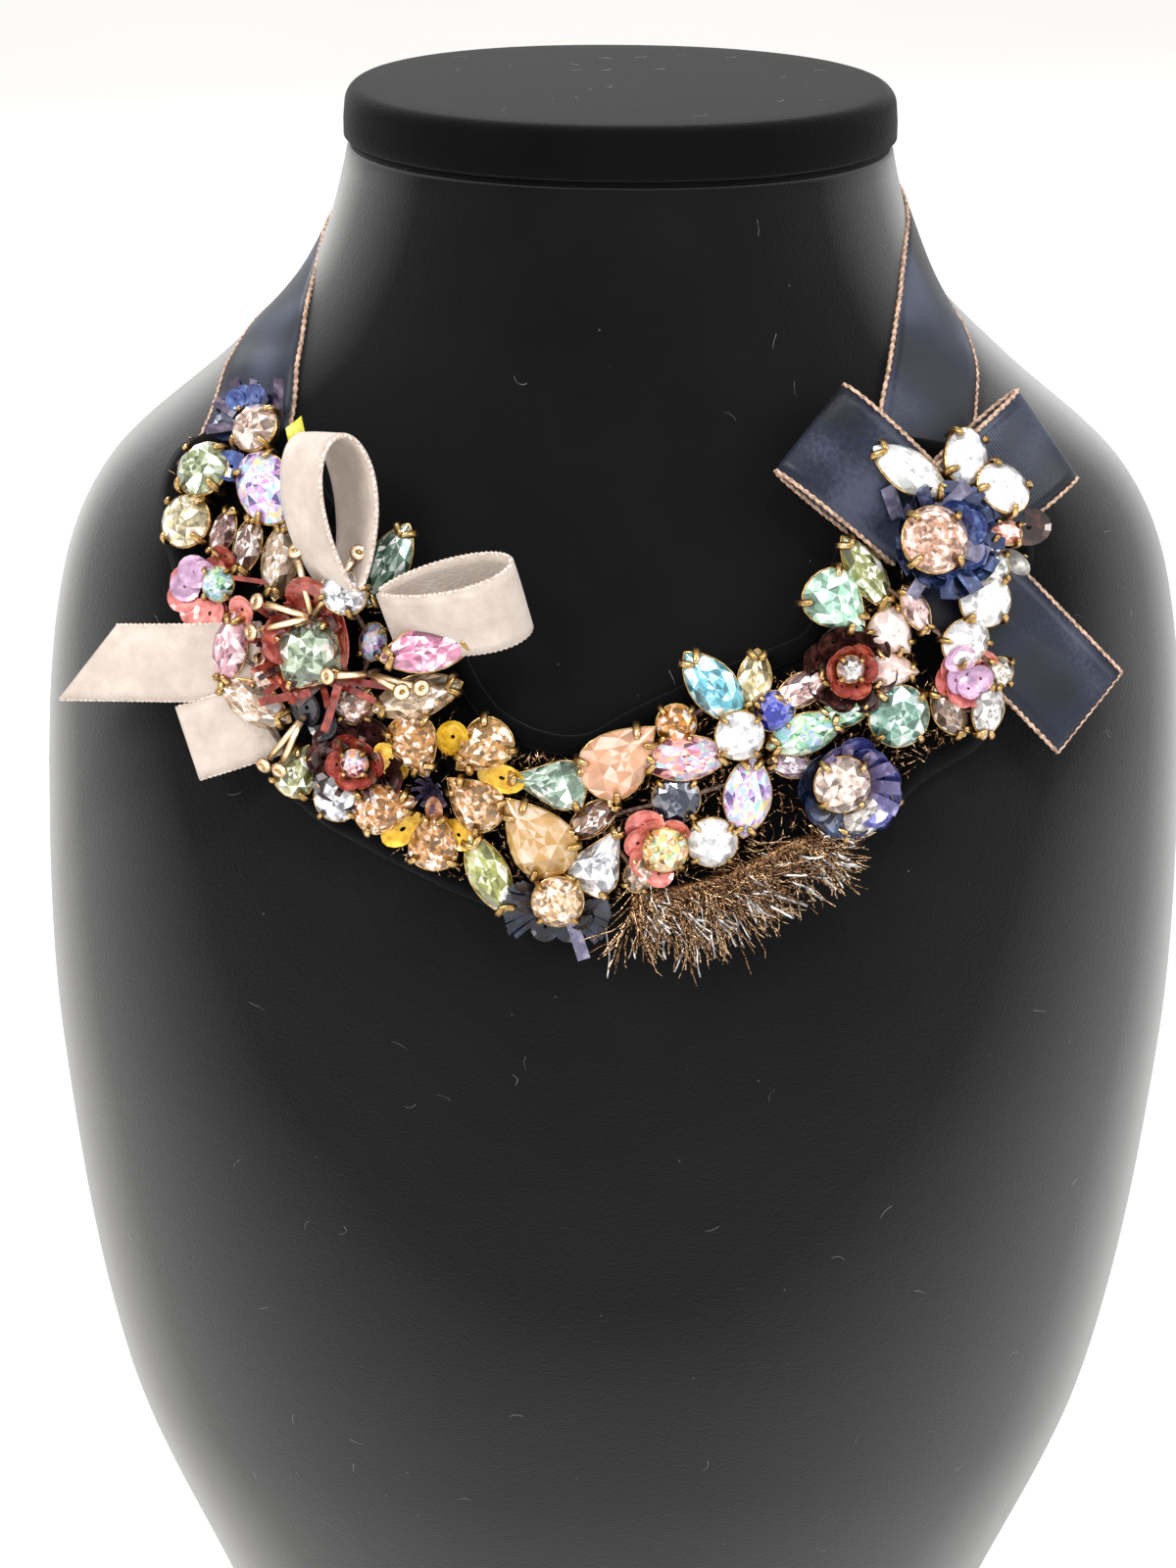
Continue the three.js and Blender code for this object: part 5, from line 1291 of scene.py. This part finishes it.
def make_looks():
    """Every look that a piece may have."""
    # The black velvet's pale rim colour, 7c7c7c, is painted sheen along the bust's edges.
    velvet_look("black_velvet", "08080a", "0e0e10", 0.42, 0.5, "7c7c7c")
    velvet_look("backing_felt", "040405", "08080a", 0.05, 0)
    # A darker copy of the black velvet with less sheen, for the cap: painted shade on the bust's top.
    velvet_look("cap_velvet", "050506", "0a0a0c", 0.1, 0.5)
    satin_look("navy_satin")
    pile_look("blush_velvet")
    thread_look("pink_cord", "8c6e5a", "cfae96", 0.8)
    thread_look("ivory_selvedge", "b5a094", "e6d8cc", 0.5)
    # Copper and bronze threads: the spread from near black to pale along each thread is partly the metal's
    # own uneven tone and partly painted glints and shade on its crinkles.
    thread_look("copper_thread", "180e08", "ffd2a4", 0.42, 0.9, 0.2)
    thread_look("bronze_thread", "140d08", "a87c56", 0.4, 0.85, 0.3)
    thread_look("silver_thread", "8d8a8c", "f2efec", 1.4, 0.9, 0.2)
    thread_look("sewing_thread", "3a2a22", "6d5040", 0.8)
    thread_look("lint", "77767c", "a9a8ae", 1.5)
    gold_look("gold_plate")
    glass_look("pin_glass")
    for name, (colour, glint) in SEQUINS.items():
        sequin_look(name, colour, glint)
    for name, row in STONES.items():
        gem_look("gem_" + name, row[8], row[9])
    for name, (_, finish, colour) in FLOWER_BEADS.items():
        gem_look("gem_" + name, finish, colour)


# The pieces


def make_bust():
    """The velvet bust: a rounded cap over a seam, and a flat foot."""
    low = BUST_HEIGHT - CAP_THICKNESS

    def ring(z, grow):
        half, middle, deep = bust_section(z)
        found = []
        for k in range(BUST_SIDES):
            p = bust_point(360 * k / BUST_SIDES, z)
            found.append(Vector((p.x * (1 + grow / half), middle + (p.y - middle) * (1 + grow / deep), z)))
        return found

    rings = [ring(0, -1.2), ring(0.4, -0.4), ring(FOOT_ROUNDING, 0)]
    high = low - SEAM_DEPTH * 1.6
    for i in range(1, BUST_RINGS + 1):
        rings.append(ring(FOOT_ROUNDING + (high - FOOT_ROUNDING) * i / BUST_RINGS, 0))
    seam = len(rings)
    rings += [ring(low - SEAM_DEPTH, -SEAM_DEPTH * 0.5), ring(low, -SEAM_DEPTH)]
    rings += [ring(low + SEAM_DEPTH * 0.5, CAP_OVERHANG * 0.4), ring(low + SEAM_DEPTH, CAP_OVERHANG)]
    rings.append(ring(low + CAP_THICKNESS * 0.4, CAP_OVERHANG + 0.15))
    for i in range(9):
        a = math.pi / 2 * i / 8
        fall, pull = CAP_ROUNDING * (1 - math.sin(a)), CAP_ROUNDING * (1 - math.cos(a))
        rings.append(ring(BUST_HEIGHT - fall, CAP_OVERHANG - pull))
    middle = Vector((0, bust_section(BUST_HEIGHT)[1], BUST_HEIGHT))
    rim = rings[-1]
    for share in (0.9, 0.675, 0.45, 0.225, 0.072):
        rings.append([middle.lerp(p, share) for p in rim])
    shape = Shape()
    shape.tube(rings[:seam + 1], "black_velvet")
    # The seam and cap take the darker velvet copy, painted shade on the top.
    shape.tube(rings[seam:], "cap_velvet")
    piece(shape, "velvet_bust", ["bust_form"])


def make_lint():
    """Pale fibres that cling to the velvet."""
    rng = random.Random(7)
    shape = Shape()
    for k in range(LINT_FIBRES):
        # Each sixth fibre lies on the cap
        if k % 6:
            p = bust_point(rng.uniform(-95, 95), rng.uniform(12, BUST_HEIGHT - CAP_THICKNESS - 4))
            p, out = settle(p, 0.12), bust_field(p)[0]
        else:
            half, middle, deep = bust_section(BUST_HEIGHT)
            a, r = rng.uniform(0, 2 * math.pi), math.sqrt(rng.random()) * 0.85
            p = Vector((math.cos(a) * r * half, middle + math.sin(a) * r * deep, BUST_HEIGHT + 0.1))
            out = Vector((0, 0, 1))
        way = (Quaternion(out, rng.uniform(0, 2 * math.pi)) @ out.orthogonal()).normalized()
        path, bend = [p], rng.uniform(-0.5, 0.5)
        for i in range(5):
            way = Quaternion(out, bend * rng.uniform(0.4, 1.4)) @ way
            path.append(path[-1] + way * rng.uniform(0.3, 0.8) + out * rng.uniform(-0.04, 0.06))
        strand(shape, path, rng.uniform(0.02, 0.045), "lint", sides=3, tip=0.5)
    piece(shape, "velvet_lint")


def make_glitter(upper):
    """Loops of copper thread sewn over the felt, most of them under its middle."""
    rng = random.Random(3)
    threads = Shape()
    spots = []
    for k in range(GLITTER_THREADS):
        i = int(rng.uniform(0.4, 0.8) * BIB_STEPS) if k % 5 else rng.randrange(6, BIB_STEPS - 6)
        j = rng.uniform(1, BIB_COLUMNS - 1)
        spots.append(upper[i][int(j)].lerp(upper[i][int(j) + 1], j % 1))
    for p in spots:
        out = bust_field(p)[0]
        way = (Quaternion(out, rng.uniform(0, 2 * math.pi)) @ out.orthogonal()).normalized()
        long, hop = rng.uniform(1.2, 3.2), rng.uniform(0.3, 1.7)
        path = [
            p + way * (long * (t - 0.5)) + out * (0.1 + hop * math.sin(math.pi * t))
            for t in (0, 0.3, 0.7, 1)]
        radius = rng.uniform(0.09, 0.18)
        strand(threads, path, radius, rng.choice(["copper_thread", "bronze_thread"]), sides=3)
    return piece(threads, "glitter_ground")


def make_bib():
    """The felt under the stones, its rolled velvet neckline and the copper threads sewn over it."""
    rows = edge_sheet(BIB_EDGES, BIB_STEPS, BIB_COLUMNS)
    lower, upper = [], []
    for i, row in enumerate(rows):
        low, high = [], []
        for j, p in enumerate(row):
            rim = min(j, BIB_COLUMNS - j, i, BIB_STEPS - i)
            fall = (0.9, 0.35, 0.1)[rim] if rim < 3 else 0
            ripple = 0.12 * math.sin(i * 0.9) * math.sin(j * 1.4)
            low.append(settle(p, TOUCH * 0.5))
            high.append(settle(p, BIB_TOP - fall + ripple))
        lower.append(low)
        upper.append(high)
    shape = Shape()
    shape.slab(lower, upper, "backing_felt")
    felt = piece(shape, "bib_felt", ["bib_backing"])
    edge = [upper[i][0] for i in range(4, BIB_STEPS - 3)]
    roll = Shape()
    strand(roll, spaced(edge, 1.5), ROLL_RADIUS, "backing_felt", sides=12)
    rolled = piece(roll, "bib_rolled_edge")
    glitter = make_glitter(upper)


def make_ribbons():
    raised = 2 * TOUCH + SATIN_THICKNESS / 2
    for side_name, (side, path) in NECK_RIBBONS.items():
        stations = [(row[0] + row[2] * raised, *row[1:]) for row in neck_stations(side, path)]
        ribbon_pieces("neck_ribbon_" + side_name, stations, "satin")
    for name, row in LOOPS.items():
        stations = loop_stations(row, CLOTHS[row[0]][1])
        ribbon_pieces(name, stations, row[0])
    for name, row in TAILS.items():
        ribbon_pieces(name, tail_stations(row), row[0], cut_end=True)


def make_clasp():
    """Two gold crimps that hold the ribbon's ends, joined by a hook in a ring."""
    stand = settle(bust_point(180, NECK_BACK_RISE * BUST_HEIGHT), TOUCH * 2.5 + CLASP_THICKNESS / 2)
    shape = Shape()
    x, y, z = Vector((1, 0, 0)), Vector((0, 1, 0)), Vector((0, 0, 1))
    half = CLASP_THICKNESS * CRIMP_THICKNESS_SHARE
    for side in (-1, 1):
        lower, upper = [], []
        for i in range(21):
            t = -0.5 + i / 20
            ridge = CRIMP_RIDGE * math.cos(2 * math.pi * i / 4)
            row = [
                stand + x * side * (CLASP_LENGTH / 2 - CRIMP_LENGTH * s) + z * (t * SATIN_WIDTH)
                for s in (1, 0.5, 0)]
            lower.append([p - y * half for p in row])
            upper.append([p + y * (half + ridge) for p in row])
        shape.slab(lower, upper, "gold_plate")
    hoop(shape, stand + x * 0.9, y, HOOK_RING_RADIUS, HOOK_WIRE, "gold_plate")
    hook = [
        stand + x * (-1.4 + 0.3 * i) + y * (0.5 * math.sin(i)) + z * (0.9 * math.sin(i * 0.8))
        for i in range(8)]
    strand(shape, hook, HOOK_WIRE, "gold_plate", sides=8)
    piece(shape, "hook_clasp", ["back_clasp"])


def make_stones():
    """The stones that stand alone, and the clusters of small ones tied together."""
    grouped = {n for names in CLUSTERS.values() for n in names}
    grouped |= {n for row in FLOWERS.values() for n in row[3]}
    for name in STONES:
        if name in grouped:
            continue
        shape = Shape()
        stone_piece(shape, name)
        piece(shape, "crystal_" + name, [name], ["gem_" + name])
    for node, names in CLUSTERS.items():
        shape, ties = Shape(), []
        for name in names:
            foot, out, _, _ = stone_piece(shape, name)
            tie = foot + out * (STONES[name][5] * CUP_SHARE)
            if ties:
                near = min(ties, key=lambda spot: (spot - tie).length)
                path = smooth_line([near, near.lerp(tie, 0.5) + out * 0.2, tie], 6)
                strand(shape, path, TIE_RADIUS, "sewing_thread", sides=6)
            ties.append(tie)
        piece(shape, "cluster_" + node, [node], ["gem_" + n for n in names])


def layer_sequins(shape, rng, layers, base, out, axis):
    """A flower's rings of discs and strips round its hub."""
    side = out.cross(axis)
    for kind, surface, count, distance, long, wide, lean, start, sweep, height in layers:
        for k in range(count):
            turn = math.radians(start + sweep * (k + rng.uniform(-0.15, 0.15)) / count)
            tilt = math.radians(lean + rng.uniform(-8, 8))
            radial = axis * math.cos(turn) + side * math.sin(turn)
            rise = height + distance * math.sin(tilt) * 0.55 + rng.uniform(0, 0.4)
            spot = base + radial * (distance * math.cos(tilt)) + out * rise
            size = rng.uniform(0.9, 1.08)
            sequin(shape, kind, spot, radial, out, tilt, long * size, wide * size, surface)


def loose_sequins(shape, name):
    """The single discs and strips of the CAD node name."""
    for kind, surface, x, y, long, wide, turn, lean, height, node in LOOSE:
        if node == name:
            spot = cast(x, y, BIB_TOP + height)
            up = bust_field(spot)[0]
            level = picture_way(spot, up, turn)
            sequin(shape, kind, spot, level, up, math.radians(lean), long, wide, surface)


def make_flowers():
    """The sequin flowers, with their stones or a small crystal at their middle."""
    for name, (px, py, lift, stones, layers) in FLOWERS.items():
        shape = Shape()
        middle = cast(px, py, BIB_TOP + lift * 0.6)
        out = bust_field(middle)[0]
        base = settle(middle, BIB_TOP + TOUCH * 2 + lift)
        axis = picture_way(middle, out, 0)
        layer_sequins(shape, random.Random(name), layers, base, out, axis)
        loose_sequins(shape, name)
        if lift:
            stem = [settle(middle, BIB_TOP + TOUCH), base + out * 0.6]
            strand(shape, stem, STEM_RADIUS, "sewing_thread", sides=8)
        sharp = []
        for stone in stones:
            stone_piece(shape, stone)
            sharp.append("gem_" + stone)
        if name in FLOWER_BEADS:
            size = FLOWER_BEADS[name][0]
            seat = (base + out * 1.2, out, axis, out.cross(axis))
            crystal(shape, name, "round", size, size, size * 0.8, seat, "gem_" + name)
            setting(shape, "round", size, size, size * 0.8, seat)
            sharp.append("gem_" + name)
        foils = ("_strip", "_sequin", "_leaf")
        sharp += [surface for surface in set(shape.looks) if surface.endswith(foils)]
        piece(shape, "sequins_" + name, [name], sharp)


def make_pins():
    """The sprays of glass rods that end in beads."""
    for name, (foot, heads) in PINS.items():
        shape = Shape()
        root = cast(foot[0], foot[1], BIB_TOP + foot[2])
        stalk = [settle(root, BIB_TOP + TOUCH), root]
        strand(shape, stalk, PIN_STALK_RADIUS, "sewing_thread", sides=6)
        for px, py, height in heads:
            head = cast(px, py, BIB_TOP + height)
            way = (head - root).normalized()
            start = root + way * 0.6
            end = head - way * (PIN_BEAD_DIAMETER * 0.42)
            rod = BUGLE_DIAMETER / 2 * PIN_ROD_SHARE
            strand(shape, [start, start.lerp(end, 0.5), end], rod, "pin_glass", sides=12)
            facing = (bust_field(head)[0] * 0.8 + way * 0.6).normalized()
            hoop(
                shape, head, facing, PIN_BEAD_DIAMETER * 0.25, PIN_BEAD_DIAMETER * 0.18, "pin_glass",
                sides=18, rows=10)
            ball(shape, head, facing, PIN_BEAD_DIAMETER * 0.16, "gold_plate")
        piece(shape, "pins_" + name, [name])


def tuft_strand(shape, rng, rows, columns, middle, swing, stretch):
    """One strand of a tuft: crinkled copper thread, or a short piece of silver foil."""
    t = min(max(middle + rng.gauss(0, 0.02), 0), 1)
    row = rows[min(int(t * FRINGE_STEPS), FRINGE_STEPS - 1)]
    root = row[rng.randrange(*columns)].copy()
    out = bust_field(root)[0]
    aim = FRINGE_AIM["left"] + (FRINGE_AIM["right"] - FRINGE_AIM["left"]) * t
    aim += swing + rng.gauss(0, STRAND_SWING)
    way = (picture_way(root, out, aim) + out * rng.uniform(-0.02, 0.55)).normalized()
    ends = FRINGE_REACH["left"] if t < 0.5 else FRINGE_REACH["right"]
    reach = FRINGE_REACH["middle"] + (ends - FRINGE_REACH["middle"]) * abs(2 * t - 1)
    reach *= stretch * rng.uniform(0.8, 1.08)
    side = out.cross(way)
    foil = rng.random() < FOIL_SHARE
    if foil:
        root += way * (reach * rng.uniform(0.2, 0.6)) + out * 0.6
        reach *= 0.42
    steps = 4 if foil else 9
    crinkle = 0.1 if foil else 0.24
    path, drift = [root], 0
    for i in range(1, steps + 1):
        drift += rng.gauss(0, 0.12)
        step = way + side * (drift + rng.uniform(-crinkle, crinkle))
        step += out * (0.28 - 0.5 * i / steps + rng.uniform(-crinkle, crinkle))
        p = path[-1] + step.normalized() * (reach / steps)
        off = bust_field(p)[1]
        path.append(p + out * max(0.5 - off, 0))
    if foil:
        strand(shape, path, rng.uniform(0.2, 0.34), "silver_thread", tip=0.9, flat=0.2)
    else:
        surface = rng.choice(["copper_thread", "copper_thread", "bronze_thread"])
        strand(shape, path, rng.uniform(0.1, 0.18), surface, sides=3, tip=0.9)


def make_fringe():
    """Tufts of crinkled copper thread and silver foil that hang from the bib's lower edge."""
    rng = random.Random(11)
    shape = Shape()
    rows = edge_sheet(FRINGE_HEAD, FRINGE_STEPS, FRINGE_COLUMNS)
    lower = [[settle(p, BIB_TOP + TOUCH) for p in row] for row in rows]
    thick = [FRINGE_HEAD_THICKNESS * share for share in (0.5, 1, 1, 1, 0.5)]
    upper = [[settle(p, BIB_TOP + TOUCH + t) for p, t in zip(row, thick)] for row in rows]
    shape.slab(lower, upper, "bronze_thread")
    ground = edge_sheet(FRINGE_GROUND, FRINGE_STEPS, FRINGE_COLUMNS)
    ground = [[settle(p, BIB_TOP + 0.4) for p in row] for row in ground]
    for _ in range(FRINGE_TUFTS):
        middle = rng.random()
        high = rng.random() < HIGH_TUFT_SHARE
        swing = rng.gauss(0, TUFT_SWING)
        stretch = rng.uniform(0.5, 1.15)
        rows, columns = (ground, (0, FRINGE_COLUMNS)) if high else (upper, (1, FRINGE_COLUMNS))
        for _ in range(TUFT_STRANDS):
            tuft_strand(shape, rng, rows, columns, middle, swing, stretch)
    piece(shape, "fringe_strands", ["thread_fringe"])
    loose = Shape()
    hanging = [cast(px, py, 1.2) for px, py in ((621, 925), (619, 950), (622, 975), (620, 998))]
    strand(loose, smooth_line(hanging, 10), 0.22, "silver_thread", flat=0.4)
    piece(loose, "hanging_strand")


def make_stage():
    """A pale floor, soft studio lights and the camera."""
    bpy.ops.mesh.primitive_plane_add(size=24, location=(0, 8, 0))
    floor = bpy.context.object
    floor.name = "studio_floor"
    tree, shader = look("pale_floor", Roughness=0.7, Specular_IOR_Level=0.2)
    spots = object_spots(tree)
    colour = ramp(tree, noise(tree, spots, 600, 2), shades((0.3, "f7f5f2"), (0.7, "f9f8f5")))
    tree.links.new(colour, shader.inputs["Base Color"])
    floor.data.materials.append(LOOKS["pale_floor"])
    aim = Vector((0, 0, 0.26))
    # Lights: name, place, size, power and colour
    for name, place, size, power, tint in [
        ("key_light", (-0.7, -0.75, 1.15), 0.45, 9, (1, 0.98, 0.95)),
        ("fill_light", (0.95, -0.5, 0.75), 0.6, 4, (0.95, 0.97, 1)),
        ("back_light", (-0.35, 1.1, 1.0), 0.9, 14, (1, 1, 1)),
        ("spark_light", (0.15, -0.5, 1.3), 0.1, 3, (1, 1, 1)),
    ]:
        lamp = bpy.data.lights.new(name, "AREA")
        lamp.shape = "DISK"
        lamp.size = size
        lamp.energy = power
        lamp.color = tint
        obj = bpy.data.objects.new(name, lamp)
        bpy.context.scene.collection.objects.link(obj)
        obj.location = place
        obj.rotation_euler = (aim - obj.location).to_track_quat("-Z", "Y").to_euler()
    world = bpy.data.worlds.new("studio")
    world.use_nodes = True
    world.node_tree.nodes["Background"].inputs["Color"].default_value = (1, 1, 1, 1)
    world.node_tree.nodes["Background"].inputs["Strength"].default_value = 1.0
    bpy.context.scene.world = world
    bpy.context.scene.view_settings.view_transform = "Standard"
    lens = bpy.data.cameras.new("photo_camera")
    lens.sensor_width = SENSOR
    lens.lens = PICTURE_FOCUS / PICTURE_HIGH * SENSOR
    lens.clip_start = 0.01
    camera = bpy.data.objects.new("photo_camera", lens)
    bpy.context.scene.collection.objects.link(camera)
    turn = Matrix((LEVEL, UP, -AHEAD)).transposed().to_4x4()
    camera.matrix_world = Matrix.Translation(EYE * MM) @ turn
    bpy.context.scene.camera = camera


make_looks()
make_stage()
make_bust()
make_lint()
make_bib()
make_ribbons()
make_clasp()
make_stones()
make_flowers()
make_pins()
make_fringe()
